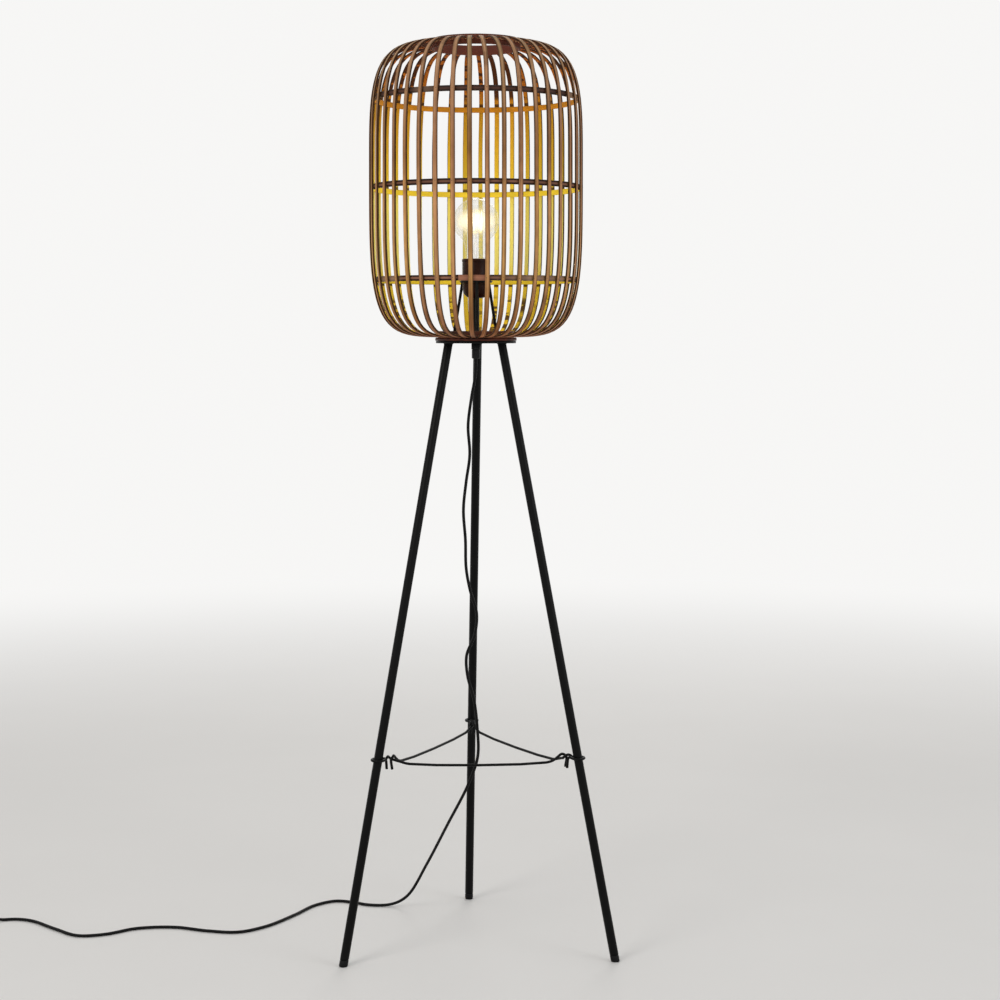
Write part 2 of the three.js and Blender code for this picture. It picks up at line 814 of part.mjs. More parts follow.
// A block with rounded ends, its edges bevelled all round.
function pill(length, width, height, rounding) {
  const radius = width / 2 - rounding;
  const straight = (length - width) / 2;
  const outline = new THREE.Shape();
  outline.absarc(straight, 0, radius, -Math.PI / 2, Math.PI / 2);
  outline.absarc(-straight, 0, radius, Math.PI / 2, (3 * Math.PI) / 2);
  outline.closePath();
  return new THREE.ExtrudeGeometry(outline, {
    depth: height - 2 * rounding,
    bevelThickness: rounding,
    bevelSize: rounding,
    bevelSegments: bevelSteps,
    curveSegments: pillEndSteps,
  }).translate(0, 0, rounding);
}

// The foot switch: a rounded casing with a well for its button and a nozzle at each end.
function makeSwitch() {
  const side = new THREE.Group();
  side.position.copy(switchCentre);
  lamp.add(side);
  const wellRadius = buttonDiameter / 2 + buttonClearance;
  const wellDepth = buttonHeight - buttonProud + buttonTravel + seatGap;
  const well = new THREE.Vector3(0, 0, switchHeight - wellDepth);
  const wellTop = new THREE.Vector3(0, 0, switchHeight + cutOverrun);
  const nozzle = (way) =>
    bar(
      new THREE.Vector3(way * (switchLength / 2 - switchNozzleRoot), 0, switchEntryLift),
      new THREE.Vector3(way * switchReach, 0, switchEntryLift),
      switchNozzleRadius,
      switchNozzleTip,
      smallSides,
    );
  const casing = joined(
    pill(switchLength, switchWidth, switchHeight, switchRounding),
    nozzle(1),
    nozzle(-1),
  );
  const body = cut(casing, bar(well, wellTop, wellRadius, wellRadius, turnedSides));
  place("foot_switch", body, blackPlastic, side);

  const top = switchHeight + buttonProud;
  const radius = buttonDiameter / 2;
  const button = turned(
    [
      [0, top - buttonHeight],
      [radius, top - buttonHeight],
      [radius, top - buttonRounding],
      [radius - buttonRounding, top],
      [0, top],
    ],
    turnedSides,
  );
  place("switch_button", button, blackPlastic, side);
}

// The two-pin plug, lying flat: a body that narrows to its cord, and two round pins.
function makePlug() {
  const coilEnd = coilRoute().pop();
  const start = coilEnd.x - seatGap;
  const half = plugThickness / 2;
  const inset = plugRounding;
  const across = (width) => width / 2 - inset;
  const shoulder = plugTaperLength + (plugLength - plugTaperLength) / 2;
  const outline = new THREE.Shape([
    new THREE.Vector2(-inset, -across(plugTailWidth)),
    new THREE.Vector2(-inset, across(plugTailWidth)),
    new THREE.Vector2(-plugTaperLength, across(plugWidth)),
    new THREE.Vector2(-shoulder, across(plugWidth)),
    new THREE.Vector2(inset - plugLength, across(plugNoseWidth)),
    new THREE.Vector2(inset - plugLength, -across(plugNoseWidth)),
    new THREE.Vector2(-shoulder, -across(plugWidth)),
    new THREE.Vector2(-plugTaperLength, -across(plugWidth)),
  ]);
  const body = new THREE.ExtrudeGeometry(outline, {
    depth: plugThickness - 2 * inset,
    bevelThickness: inset,
    bevelSize: inset,
    bevelSegments: bevelSteps,
  }).translate(0, 0, inset);
  const pin = (side) =>
    bar(
      new THREE.Vector3(inset - plugLength + rootOverrun, (side * plugPinSpacing) / 2, half),
      new THREE.Vector3(-plugLength - plugPinLength, (side * plugPinSpacing) / 2, half),
      plugPinDiameter / 2,
      plugPinDiameter / 2,
      wireSides,
    );
  place("plug", joined(body, pin(1), pin(-1)), blackPlastic).position.set(start, coilEnd.y, 0);
}

for (const [name, direction] of Object.entries(legAngles)) makeLeg(name, direction);
makeBrace();
makePlate();
makeShadeBase();
const faces = ribFaces();
makeRibs(faces);
makeHoops(faces);
makeTopRing();
makeStem();
makeGland();
makeLampholder();
makeStay();
makeBulb();
makeCord();
makeCoil();
makeSwitch();
makePlug();

// The lamp axis stands behind or before the origin by half the difference between the reach of
// the shade to the front and the reach of the rear foot.
const frontRib = radians(firstRibAngle);
const frontReach = shadeRadius * Math.cos(frontRib) + (ribWidth / 2) * Math.sin(frontRib);
const rear = legPlan(legAngles.rear_leg);
const footAcross = legDiameter / 2;
const rearReach =
  legCentre(legAngles.rear_leg, footCapEdge).y +
  Math.hypot(
    (footAcross / Math.cos(rear.lean)) * Math.sin(rear.inwards.angle()),
    footAcross * Math.cos(rear.inwards.angle()),
  );
lamp.position.y = (frontReach - rearReach) / 2;

export default model;
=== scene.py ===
"""A floor lamp: a barrel shade of split rattan strips on a tripod of black steel tube.

Every piece is in metres, in the frame's own axes: +Z up, the rear leg along +Y.
"""

import bisect
import json
import logging
import math
import random
from collections.abc import Callable, Iterator, Sequence
from contextlib import contextmanager
from dataclasses import dataclass, field
from enum import Enum

import bmesh
import bpy
from mathutils import Matrix, Vector


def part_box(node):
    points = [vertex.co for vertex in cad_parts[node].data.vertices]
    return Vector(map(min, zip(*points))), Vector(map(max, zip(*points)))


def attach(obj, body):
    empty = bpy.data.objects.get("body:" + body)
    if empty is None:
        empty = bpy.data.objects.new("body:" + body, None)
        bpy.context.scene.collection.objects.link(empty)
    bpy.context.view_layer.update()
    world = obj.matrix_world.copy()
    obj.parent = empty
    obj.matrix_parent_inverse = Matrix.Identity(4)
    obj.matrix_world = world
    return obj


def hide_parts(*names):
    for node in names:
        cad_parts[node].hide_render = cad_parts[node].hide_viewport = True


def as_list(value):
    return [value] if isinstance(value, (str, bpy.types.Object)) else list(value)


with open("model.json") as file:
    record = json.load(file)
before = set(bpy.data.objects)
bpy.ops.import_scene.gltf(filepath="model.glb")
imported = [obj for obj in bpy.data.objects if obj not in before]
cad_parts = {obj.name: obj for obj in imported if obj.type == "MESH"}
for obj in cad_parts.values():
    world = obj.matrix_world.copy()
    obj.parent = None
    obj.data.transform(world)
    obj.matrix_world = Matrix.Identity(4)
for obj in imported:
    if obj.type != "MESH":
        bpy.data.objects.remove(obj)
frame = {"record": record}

log = logging.getLogger("lamp")
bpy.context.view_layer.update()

Colour = tuple[float, float, float, float]
Point = tuple[float, float, float]
Stops = tuple[tuple[float, Colour], ...]
Profile = Sequence[tuple[float, float]]
Piece = bpy.types.Object
Number = "float | Value"

SEED = 11
MERGE = 1e-6
GAP = 0.0003
FULL_TURN = 2 * math.pi
SMOOTH_ANGLE = math.radians(38)


def srgb(red: int, green: int, blue: int) -> Colour:
    """Returns the linear colour of an 8-bit screen colour."""
    linear = [((c / 255 + 0.055) / 1.055) ** 2.4 if c > 10 else c / 255 / 12.92 for c in (red, green, blue)]
    return (linear[0], linear[1], linear[2], 1.0)


class Ride(Enum):
    """The body that a piece moves with."""

    LAMP = "lamp"
    BULB = "bulb"
    BUTTON = "switch_button"


class Slot(Enum):
    """The record's material slots."""

    STRIP = "split_rattan"
    HOOP = "hoop_rattan"
    WOOD = "stained_wood"
    STEEL = "black_steel"
    PLASTIC = "black_plastic"
    HOLDER = "bakelite"
    GLASS = "clear_glass"
    CORD = "black_flex"


# Shader maths


class Value:
    """A shader socket that takes part in Python sums."""

    def __init__(self, shader: "Shader", socket: bpy.types.NodeSocket) -> None:
        """Wraps a socket of a shader's node."""
        self.shader = shader
        self.socket = socket

    def __add__(self, other: Number) -> "Value":
        """Adds."""
        return self.shader.math("ADD", self, other)

    def __sub__(self, other: Number) -> "Value":
        """Subtracts."""
        return self.shader.math("SUBTRACT", self, other)

    def __rsub__(self, other: Number) -> "Value":
        """Subtracts from a number."""
        return self.shader.math("SUBTRACT", other, self)

    def __mul__(self, other: Number) -> "Value":
        """Multiplies."""
        return self.shader.math("MULTIPLY", self, other)

    __radd__ = __add__
    __rmul__ = __mul__


class Shader:
    """Builds the nodes of one material."""

    def __init__(self, name: str) -> None:
        """Starts a material with one Principled shader.

        Args:
            name: The material's name.
        """
        self.material = bpy.data.materials.new(name)
        self.material.use_nodes = True
        self.nodes = self.material.node_tree.nodes
        self.links = self.material.node_tree.links
        self.nodes.clear()
        output = self.nodes.new("ShaderNodeOutputMaterial")
        self.surface = self.nodes.new("ShaderNodeBsdfPrincipled")
        self.links.new(self.surface.outputs[0], output.inputs["Surface"])

    def node(self, kind: str, settings: dict, inputs: dict, output: int | str = 0) -> Value:
        """Adds a node.

        Args:
            kind: The node's type.
            settings: Its own settings, set first; "stops" gives a ramp's places and colours.
            inputs: Values or links for its sockets, by name or index.
            output: The socket that is returned.

        Returns:
            The chosen output.
        """
        made = self.nodes.new(kind)
        for key, setting in settings.items():
            if key != "stops":
                setattr(made, key, setting)
                continue
            ramp = made.color_ramp
            while len(ramp.elements) < len(setting):
                ramp.elements.new(1.0)
            for element, (place, colour) in zip(ramp.elements, setting):
                element.position = place
                element.color = colour
        for key, value in inputs.items():
            self.feed(made.inputs[key], value)
        return Value(self, made.outputs[output])

    def feed(self, socket: bpy.types.NodeSocket, value: "Number | Colour | Point") -> None:
        """Links a value into a socket, or sets the socket to a constant."""
        if isinstance(value, Value):
            self.links.new(value.socket, socket)
        else:
            socket.default_value = value

    def math(self, operation: str, first: Number, second: Number = 0.0) -> Value:
        """Returns a Math node's result."""
        return self.node("ShaderNodeMath", {"operation": operation}, {0: first, 1: second})

    def mix(self, factor: Number, first: "Value | Colour", second: "Value | Colour") -> Value:
        """Returns the colour between two colours."""
        return self.node("ShaderNodeMix", {"data_type": "RGBA"}, {0: factor, 6: first, 7: second}, 2)

    def shade(self, colour: "Value | Colour", factor: Number) -> Value:
        """Returns a colour times a number."""
        vector = colour if isinstance(colour, Value) else colour[:3]
        return self.node("ShaderNodeVectorMath", {"operation": "SCALE"}, {0: vector, "Scale": factor})

    def ramp(self, place: Value, stops: Stops) -> Value:
        """Returns the colour of a ramp at a place from 0 to 1."""
        return self.node("ShaderNodeValToRGB", {"stops": stops}, {"Fac": place})

    def step(self, value: Number, low: float, high: float) -> Value:
        """Returns 0 below low and 1 above high, with a smooth step between them."""
        inputs = {"Value": value, "From Min": low, "From Max": high}
        return self.node("ShaderNodeMapRange", {"interpolation_type": "SMOOTHSTEP"}, inputs)

    def until(self, value: Number, low: float, high: float) -> Value:
        """Returns 1 below low and 0 above high, with a smooth step between them."""
        return 1 - self.step(value, low, high)

    def attributes(self, *names: str) -> list[Value]:
        """Returns numbers that each vertex carries."""
        return [self.node("ShaderNodeAttribute", {"attribute_name": name}, {}, "Fac") for name in names]

    def place(self) -> Value:
        """Returns the point in the object's own coordinates."""
        return self.node("ShaderNodeTexCoord", {}, {}, "Object")

    def grain_map(self) -> Value:
        """Returns the piece's own map: metres along it and across it."""
        return self.node("ShaderNodeUVMap", {"uv_map": "grain"}, {})

    def stretched(self, vector: Value, scale: Point) -> Value:
        """Returns a vector scaled along each of its axes."""
        return self.node("ShaderNodeVectorMath", {"operation": "MULTIPLY"}, {0: vector, 1: scale})

    def noise(self, vector: Value, scale: float, detail: float = 2.0) -> Value:
        """Returns fractal noise from 0 to 1."""
        return self.node("ShaderNodeTexNoise", {}, {"Vector": vector, "Scale": scale, "Detail": detail})

    def streaks(self, vector: Value, scale: Sequence[float], detail: float = 2.0) -> Value:
        """Returns noise drawn out along a map, by its scale along, across and deep."""
        return self.noise(self.stretched(vector, (*scale, 1.0)[:3]), 1.0, detail)

    def off_level(self, height: float) -> Value:
        """Returns how far a point lies above or below a level."""
        own = self.node("ShaderNodeSeparateXYZ", {}, {0: self.place()}, "Z")
        return self.math("ABSOLUTE", own - height)

    def bump(self, height: Number, strength: float, distance: float) -> None:
        """Feeds a height to the surface's normal."""
        inputs = {"Height": height, "Strength": strength, "Distance": distance}
        self.set(Normal=self.node("ShaderNodeBump", {}, inputs))

    def set(self, **values: "Number | Colour") -> None:
        """Sets the surface's sockets; an underscore in a name stands for a space."""
        for name, value in values.items():
            self.feed(self.surface.inputs[name.replace("_", " ")], value)


# Finishes


@dataclass(frozen=True)
class Finish:
    """A material that pieces share, and the record's slot that it belongs to."""

    name: str
    slot: Slot

    def dress(self, shader: Shader) -> None:
        """Sets the shader's nodes."""
        raise NotImplementedError

    def material(self) -> bpy.types.Material:
        """Returns the material, made at its first use."""
        known = bpy.data.materials.get(self.name)
        if known:
            return known
        shader = Shader(self.name)
        self.dress(shader)
        return shader.material


@dataclass(frozen=True)
class SplitRattan(Finish):
    """Split rattan strips: a taupe skin outside with painted light and shade across it, a honey-coloured
    inner face with the bulb's golden light painted into it, scorched at the bends, and painted shadows of
    the hoops inside.
    """

    skin_stops: Stops = (
        (0.0, srgb(176, 106, 64)), (0.16, srgb(134, 88, 44)), (0.3, srgb(182, 136, 80)),
        (0.46, srgb(184, 134, 82)), (0.58, srgb(134, 92, 50)), (0.74, srgb(148, 112, 76)),
        (1.0, srgb(164, 136, 100)),
    )
    # The inner face along the strip: honey rattan with the bulb's warm light painted in as golden yellow.
    # It grows darker towards the crown, partly from a darker stain and partly as painted shade where the
    # light grazes.
    inner_with_bulb_light_stops: Stops = (
        (0.0, srgb(170, 110, 40)), (0.1, srgb(205, 172, 46)), (0.26, srgb(200, 176, 50)),
        (0.32, srgb(194, 186, 108)), (0.48, srgb(196, 184, 94)), (0.54, srgb(200, 172, 46)),
        (0.74, srgb(206, 150, 34)), (0.8, srgb(196, 116, 30)), (1.0, srgb(150, 78, 34)),
    )
    rosy: Colour = srgb(172, 124, 94)
    # The skin's dark edge colour, used for the painted shade along its edges and for the darker fibres on
    # the sides.
    seam: Colour = srgb(66, 38, 20)
    side: Colour = srgb(58, 34, 18)
    # The colour of the scorched patches near the bends, also used for the painted hoop shadows.
    scorch_and_shadow: Colour = srgb(54, 24, 12)
    tip: Colour = srgb(208, 164, 130)
    # Painted shadows: where the dark marks on the inner face start and how far they reach. They lie just
    # below the lower hoop and just above the middle and upper hoops, where each hoop shades the strip from
    # the bulb.
    hoop_shadow_places: tuple[float, ...] = (0.2505, 0.5165, 0.7545)
    hoop_shadow_length: float = 0.007
    bends: tuple[float, float] = (0.235, 0.765)
    skin_level: float = 0.42
    inner_level: float = 0.76

    def dress(self, shader: Shader) -> None:
        """Builds the skin with its painted light and shade, the sides, the inner face with its painted bulb
        light, the fibres, the scorched patches and the painted hoop shadows.

        Args:
            shader: The material's nodes.
        """
        along, across, depth, tone = shader.attributes("along", "across", "depth", "tone")
        step, until, mix, grain = shader.step, shader.until, shader.mix, shader.grain_map()
        fibres = shader.streaks(grain, (16.0, 1500.0), 3.0)
        blots = shader.streaks(grain, (95.0, 34.0))
        lines = step(shader.streaks(grain, (5.0, 520.0)), 0.4, 0.6)
        clouds = step(shader.streaks(grain, (42.0, 30.0)), 0.36, 0.64)
        hue = step(shader.streaks(grain, (1.2, 1.2), 0.0), 0.42, 0.62)
        bands = shader.streaks(grain, (125.0, 24.0))
        fields = shader.streaks(grain, (26.0, 8.0), 1.0)
        lower = until(along, self.bends[0] - 0.03, self.bends[0])
        upper = step(along, self.bends[1], self.bends[1] + 0.02)

        skin = mix(hue * 0.45, shader.ramp(along, self.skin_stops), self.rosy)
        # Painted light and shade: the skin is lighter on one side of its middle and darker on the other, as
        # the key light falls across the rounded strip.
        painted_side_light = step(across, -0.8, -0.2) - step(across, 0.15, 0.6)
        grained = 0.42 * lines + 0.2 * clouds + 0.5 * (fibres - 0.5)
        skin = shader.shade(skin, self.skin_level + 0.3 * tone + grained + 0.24 * painted_side_light)
        # Painted shade: the skin darkens towards both of its edges, more on the side away from the key
        # light.
        edges = until(across, -1.0, -0.7) * 0.5 + step(across, 0.35, 0.9) * 0.7
        skin = mix(edges * (0.6 + 0.4 * clouds), skin, self.seam)
        skin = mix(step(fields, 0.56, 0.64) * (lower + upper) * 0.3, skin, self.scorch_and_shadow)

        inner = shader.ramp(along, self.inner_with_bulb_light_stops)
        inner = shader.shade(inner, self.inner_level + 0.28 * tone + 0.5 * (fibres - 0.5))
        stained = step(blots + 0.24 * tone, 0.56, 0.64) * upper
        banded = step(bands, 0.45, 0.53) * step(fields + 0.3 * tone, 0.52, 0.66) * lower
        inner = mix((stained + banded) * 0.92, inner, self.scorch_and_shadow)
        # Painted shadow of each hoop on the strip's inner face.
        for mark in self.hoop_shadow_places:
            past = mark + self.hoop_shadow_length
            under = step(along, mark, mark + 0.002) * until(along, past, past + 0.004)
            inner = mix(under * 0.85, inner, self.scorch_and_shadow)

        side = mix(step(fibres, 0.5, 0.8) * 0.5, self.side, self.seam)
        colour = mix(step(depth, 0.06, 0.2), skin, side)
        colour = mix(step(depth, 0.8, 0.94), colour, inner)
        colour = mix(until(along, 0.004, 0.016) * 0.75, colour, self.tip)
        colour = mix(step(along, 0.988, 0.996) * 0.6, colour, self.tip)
        shader.set(Base_Color=colour, Roughness=0.5 + 0.25 * fibres, Specular_IOR_Level=0.12)
        shader.bump(fibres + lines, 0.4, 0.0006)


@dataclass(frozen=True)
class BandRattan(Finish):
    """A flat rattan band: dark outside with a lighter line along its middle, honey-coloured inside with the
    bulb's golden light painted in, and a painted shade line at its cut end.
    """

    edge: Colour = srgb(44, 22, 15)
    line: Colour = srgb(150, 104, 82)
    inside: Colour = srgb(196, 172, 46)
    # The dark colour of the painted shade line at the band's cut end and of the line along its upper edge.
    top: Colour = srgb(34, 18, 12)
    pale: Colour = srgb(158, 128, 104)
    lapped: Colour = srgb(156, 104, 79)
    line_reach: float = 0.2
    inner_from: float = 0.6
    lap_share: float = 0.044

    def dress(self, shader: Shader) -> None:
        """Builds the band's lines, its lapped end with its painted shade line, its inner face with its
        painted bulb light and its fibres.

        Args:
            shader: The material's nodes.
        """
        along, side, depth, tone = shader.attributes("along", "across", "depth", "tone")
        step, until, mix, grain = shader.step, shader.until, shader.mix, shader.grain_map()
        across = shader.math("ABSOLUTE", side)
        fibres = shader.streaks(grain, (20.0, 1500.0), 3.0)
        patches = shader.streaks(grain, (22.0, 160.0))
        blocks = step(shader.streaks(grain, (34.0, 10.0), 1.0), 0.36, 0.64)
        faded = step(shader.streaks(grain, (7.0, 2.0), 1.0), 0.56, 0.66)
        middle_line = until(across, self.line_reach, self.line_reach + 0.3) * (0.3 + patches)
        outside = mix(middle_line * 0.85, self.edge, self.line)
        outside = mix(faded * 0.6, outside, self.pale)
        outside = mix(until(along, 0.9 * self.lap_share, self.lap_share) * 0.75, outside, self.lapped)
        outside = shader.shade(outside, 0.5 + 0.5 * fibres + 0.4 * blocks + 0.2 * (tone - 0.5))
        # Painted shade: a dark line at the band's cut end, where the lap steps down or the ends meet.
        outside = mix(until(along, 0.0008, 0.0016) * 0.8, outside, self.top)
        # The inside is honey rattan with the bulb's golden light painted in, orange on the upper hoop.
        inside = shader.shade(self.inside, 0.66 + 0.5 * fibres + 0.12 * blocks)
        colour = mix(step(depth, self.inner_from, self.inner_from + 0.2), outside, inside)
        colour = mix(step(side, 0.93, 0.97), colour, self.top)
        shader.set(Base_Color=colour, Roughness=0.45 + 0.25 * fibres, Specular_IOR_Level=0.14)
        shader.bump(fibres - 0.5 * middle_line, 0.4, 0.0006)


@dataclass(frozen=True)
class StainedWood(Finish):
    """Turned wood with a dark red-brown stain."""

    dark: Colour = srgb(40, 15, 9)
    light: Colour = srgb(96, 44, 26)

    def dress(self, shader: Shader) -> None:
        """Builds the grain that runs across the turned disc.

        Args:
            shader: The material's nodes.
        """
        place = shader.place()
        grain = shader.streaks(place, (14.0, 190.0, 320.0), 4.0)
        pores = shader.streaks(place, (60.0, 900.0, 900.0))
        colour = shader.mix(shader.step(grain, 0.3, 0.75), self.dark, self.light)
        colour = shader.shade(colour, 0.7 + 0.55 * pores)
        shader.set(Base_Color=colour, Roughness=0.34 + 0.25 * grain)
        shader.set(Coat_Weight=0.04, Specular_IOR_Level=0.2)
        shader.bump(pores, 0.2, 0.0004)


@dataclass(frozen=True)
class Coated(Finish):
    """A coat, sheath or moulding: a colour that clouds into a duller one, under a fine grain."""

    colour: Colour = srgb(12, 12, 13)
    dull: Colour = srgb(24, 24, 25)
    roughness: float = 0.42
    grain: float = 0.12
    gloss: float = 0.14
    cloud_scale: float = 60.0
    fine_scale: float = 1400.0
    clouded_from: float = 0.4
    clouded: float = 0.5
    cloud_roughness: float = 0.15
    fine_roughness: float = 0.06
    cloud_height: float = 0.0
    grain_depth: float = 0.0002

    def dress(self, shader: Shader) -> None:
        """Builds the clouds and the grain.

        Args:
            shader: The material's nodes.
        """
        place = shader.place()
        fine = shader.noise(place, self.fine_scale)
        cloud = shader.noise(place, self.cloud_scale, 3.0)
        mask = shader.step(cloud, self.clouded_from, 0.8) * self.clouded
        roughness = self.roughness + self.cloud_roughness * (cloud - 0.5) + self.fine_roughness * fine
        shader.set(Base_Color=shader.mix(mask, self.colour, self.dull), Roughness=roughness)
        shader.set(Specular_IOR_Level=self.gloss)
        shader.bump(fine + self.cloud_height * cloud, self.grain, self.grain_depth)


@dataclass(frozen=True)
class BrightMetal(Finish):
    """Plated or drawn metal, lightly brushed."""

    colour: Colour = srgb(190, 186, 178)
    dull: Colour = srgb(128, 122, 112)
    roughness: float = 0.26

    def dress(self, shader: Shader) -> None:
        """Builds the brushed lines and the tarnish.

        Args:
            shader: The material's nodes.
        """
        place = shader.place()
        lines = shader.streaks(place, (300.0, 300.0, 4200.0))
        tarnish = shader.noise(place, 120.0, 3.0)
        colour = shader.mix(shader.step(tarnish, 0.4, 0.8), self.colour, self.dull)
        shader.set(Base_Color=colour, Roughness=self.roughness + 0.3 * lines * tarnish, Metallic=1.0)
        shader.bump(lines, 0.08, 0.0001)


@dataclass(frozen=True)
class ClearGlass(Finish):
    """Blown glass that lets the filament's light through, with a painted warm glow over it."""

    tint: Colour = srgb(214, 216, 200)
    glow: Colour = srgb(255, 236, 200)
    glow_strength: float = 0.05
    alpha: float = 0.05
    edge_alpha: float = 0.42
    halo: float = 0.5
    middle: float = 1.0935
    reach: float = 0.03

    def dress(self, shader: Shader) -> None:
        """Builds the clear wall, thicker to the eye at its edge, with ripples and a painted glow at its
        middle.

        Args:
            shader: The material's nodes.
        """
        ripple = shader.streaks(shader.place(), (420.0, 420.0, 14.0))
        edge = shader.node("ShaderNodeLayerWeight", {}, {"Blend": 0.4}, "Facing")
        near = shader.until(shader.off_level(self.middle), 0.0, self.reach)
        # Painted glow: the glass gives off a faint warm light all over, and a stronger one round the
        # filament's level in the middle of the globe as seen.
        halo = near * shader.until(edge, 0.0, 0.6) * self.halo
        rippled = self.alpha * (0.4 + 1.6 * shader.step(ripple, 0.4, 0.65))
        veil = rippled + self.edge_alpha * edge * edge * edge
        colour = shader.mix(halo, shader.shade(self.glow, self.glow_strength), self.glow)
        shader.set(Base_Color=self.tint, Roughness=0.03 + 0.04 * ripple, Coat_Weight=0.5)
        shader.set(Alpha=veil + halo, Emission_Color=colour, Emission_Strength=1.6)
        shader.bump(ripple, 0.05, 0.0006)


@dataclass(frozen=True)
class Glowing(Finish):
    """The filament at work, white hot in the middle of its strands and dimmer towards the hooks."""

    hot: Colour = srgb(255, 244, 214)
    dim: Colour = srgb(150, 120, 70)
    strength: float = 7.0
    middle: float = 1.0935
    reach: float = 0.017

    def dress(self, shader: Shader) -> None:
        """Builds the light by the distance from the strands' middle.

        Args:
            shader: The material's nodes.
        """
        away = shader.off_level(self.middle)
        colour = shader.mix(shader.step(away, 0.4 * self.reach, self.reach), self.hot, self.dim)
        shader.set(Base_Color=self.dim, Roughness=0.5)
        shader.set(Emission_Color=colour, Emission_Strength=self.strength)


STRIP_RATTAN = SplitRattan("split rattan", Slot.STRIP)
HOOP_RATTAN = BandRattan("hoop rattan", Slot.HOOP)
UPPER_HOOP_RATTAN = BandRattan(
    "upper hoop rattan", Slot.HOOP, edge=srgb(46, 31, 24), line=srgb(84, 54, 43), inside=srgb(198, 132, 30),
    top=srgb(30, 20, 16),
)
RING_RATTAN = BandRattan(
    "top ring rattan", Slot.HOOP, edge=srgb(74, 36, 25), line=srgb(98, 52, 36), inside=srgb(94, 48, 36),
    top=srgb(26, 16, 12), pale=srgb(98, 60, 44), lapped=srgb(74, 36, 25), line_reach=0.7,
)
WOOD = StainedWood("stained wood", Slot.WOOD)
STEEL = Coated(
    "black powder coat", Slot.STEEL, srgb(9, 9, 9), srgb(19, 18, 17), roughness=0.4, grain=0.14, gloss=0.1,
    cloud_scale=38.0, fine_scale=900.0, clouded_from=0.52, clouded=0.6, cloud_roughness=0.2,
    fine_roughness=0.0,
)
SHEATH = Coated(
    "cord sheath", Slot.CORD, srgb(9, 9, 9), srgb(20, 19, 18), roughness=0.5, grain=0.1, gloss=0.12,
    cloud_scale=45.0, fine_scale=1500.0, clouded_from=0.45, cloud_roughness=0.2, fine_roughness=0.0,
    cloud_height=1.0, grain_depth=0.0003,
)
PLASTIC = Coated("black plastic", Slot.PLASTIC)
GLAND_PLASTIC = Coated("gland plastic", Slot.PLASTIC, srgb(18, 18, 19), srgb(28, 28, 29), 0.4, 0.12, 0.2)
PHENOLIC = Coated("dark phenolic", Slot.HOLDER, srgb(36, 14, 8), srgb(56, 24, 14), 0.24, 0.04, 0.1)
TIE_PLASTIC = Coated("tie plastic", Slot.PLASTIC, srgb(34, 34, 35), srgb(52, 52, 52), 0.3, 0.05, 0.3)
NICKEL = BrightMetal("nickel plate", Slot.GLASS)
PIN_NICKEL = BrightMetal("nickel plate", Slot.PLASTIC)
BRASS = BrightMetal("brass cap", Slot.GLASS, srgb(196, 170, 110), srgb(150, 120, 70), 0.3)
NAIL_STEEL = BrightMetal("nail steel", Slot.HOOP, srgb(124, 104, 84), srgb(88, 70, 56), 0.5)
GLASS = ClearGlass("bulb glass", Slot.GLASS)
MOUNT_GLASS = ClearGlass("mount glass", Slot.GLASS, srgb(226, 226, 212), srgb(255, 240, 208), 0.1, 0.12)
FILAMENT = Glowing("filament", Slot.GLASS)


# Modelling


def deselect() -> None:
    """Leaves nothing selected, in object mode."""
    if bpy.context.object and bpy.context.object.mode != "OBJECT":
        bpy.ops.object.mode_set(mode="OBJECT")
    bpy.ops.object.select_all(action="DESELECT")


def only(piece: Piece) -> None:
    """Selects one object and makes it the active one."""
    deselect()
    piece.select_set(True)
    bpy.context.view_layer.objects.active = piece


@contextmanager
def editing(piece: Piece) -> Iterator[None]:
    """Opens a piece in edit mode with everything selected.

    Args:
        piece: The piece that is edited.
    """
    only(piece)
    bpy.ops.object.mode_set(mode="EDIT")
    bpy.ops.mesh.select_mode(type="VERT")
    bpy.ops.mesh.select_all(action="SELECT")
    yield
    bpy.ops.object.mode_set(mode="OBJECT")


def started(name: str) -> Piece:
    """Names the active object and its data and returns it."""
    piece = bpy.context.object
    piece.name = name
    piece.data.name = name
    return piece


def added(name: str, operator: Callable, **settings: object) -> Piece:
    """Adds a primitive, a light or a camera and names it."""
    deselect()
    operator(**settings)
    return started(name)


def closed_up(piece: Piece, smooth: bool = True) -> Piece:
    """Merges a mesh's doubles and turns its faces outwards.

    Args:
        piece: The mesh.
        smooth: Whether it is shaded smooth up to its edges.

    Returns:
        The same piece.
    """
    with editing(piece):
        bpy.ops.mesh.remove_doubles(threshold=MERGE)
        bpy.ops.mesh.normals_make_consistent(inside=False)
    only(piece)
    if smooth:
        bpy.ops.object.shade_smooth_by_angle(angle=SMOOTH_ANGLE)
    return piece


def select_where(piece: Piece, kind: str, test: Callable[[Vector], bool]) -> None:
    """Selects the vertices or edges of the edited mesh whose place passes a test.

    Args:
        piece: The piece in edit mode.
        kind: "VERT" or "EDGE".
        test: Takes a vertex's place; an edge is selected where both its ends pass.
    """
    bpy.ops.mesh.select_mode(type=kind)
    bpy.ops.mesh.select_all(action="DESELECT")
    mesh = bmesh.from_edit_mesh(piece.data)
    for vertex in mesh.verts:
        vertex.select = test(vertex.co)
    mesh.select_flush_mode()
    if kind == "EDGE":
        for edge in mesh.edges:
            edge.select = all(test(vertex.co) for vertex in edge.verts)
    bmesh.update_edit_mesh(piece.data)


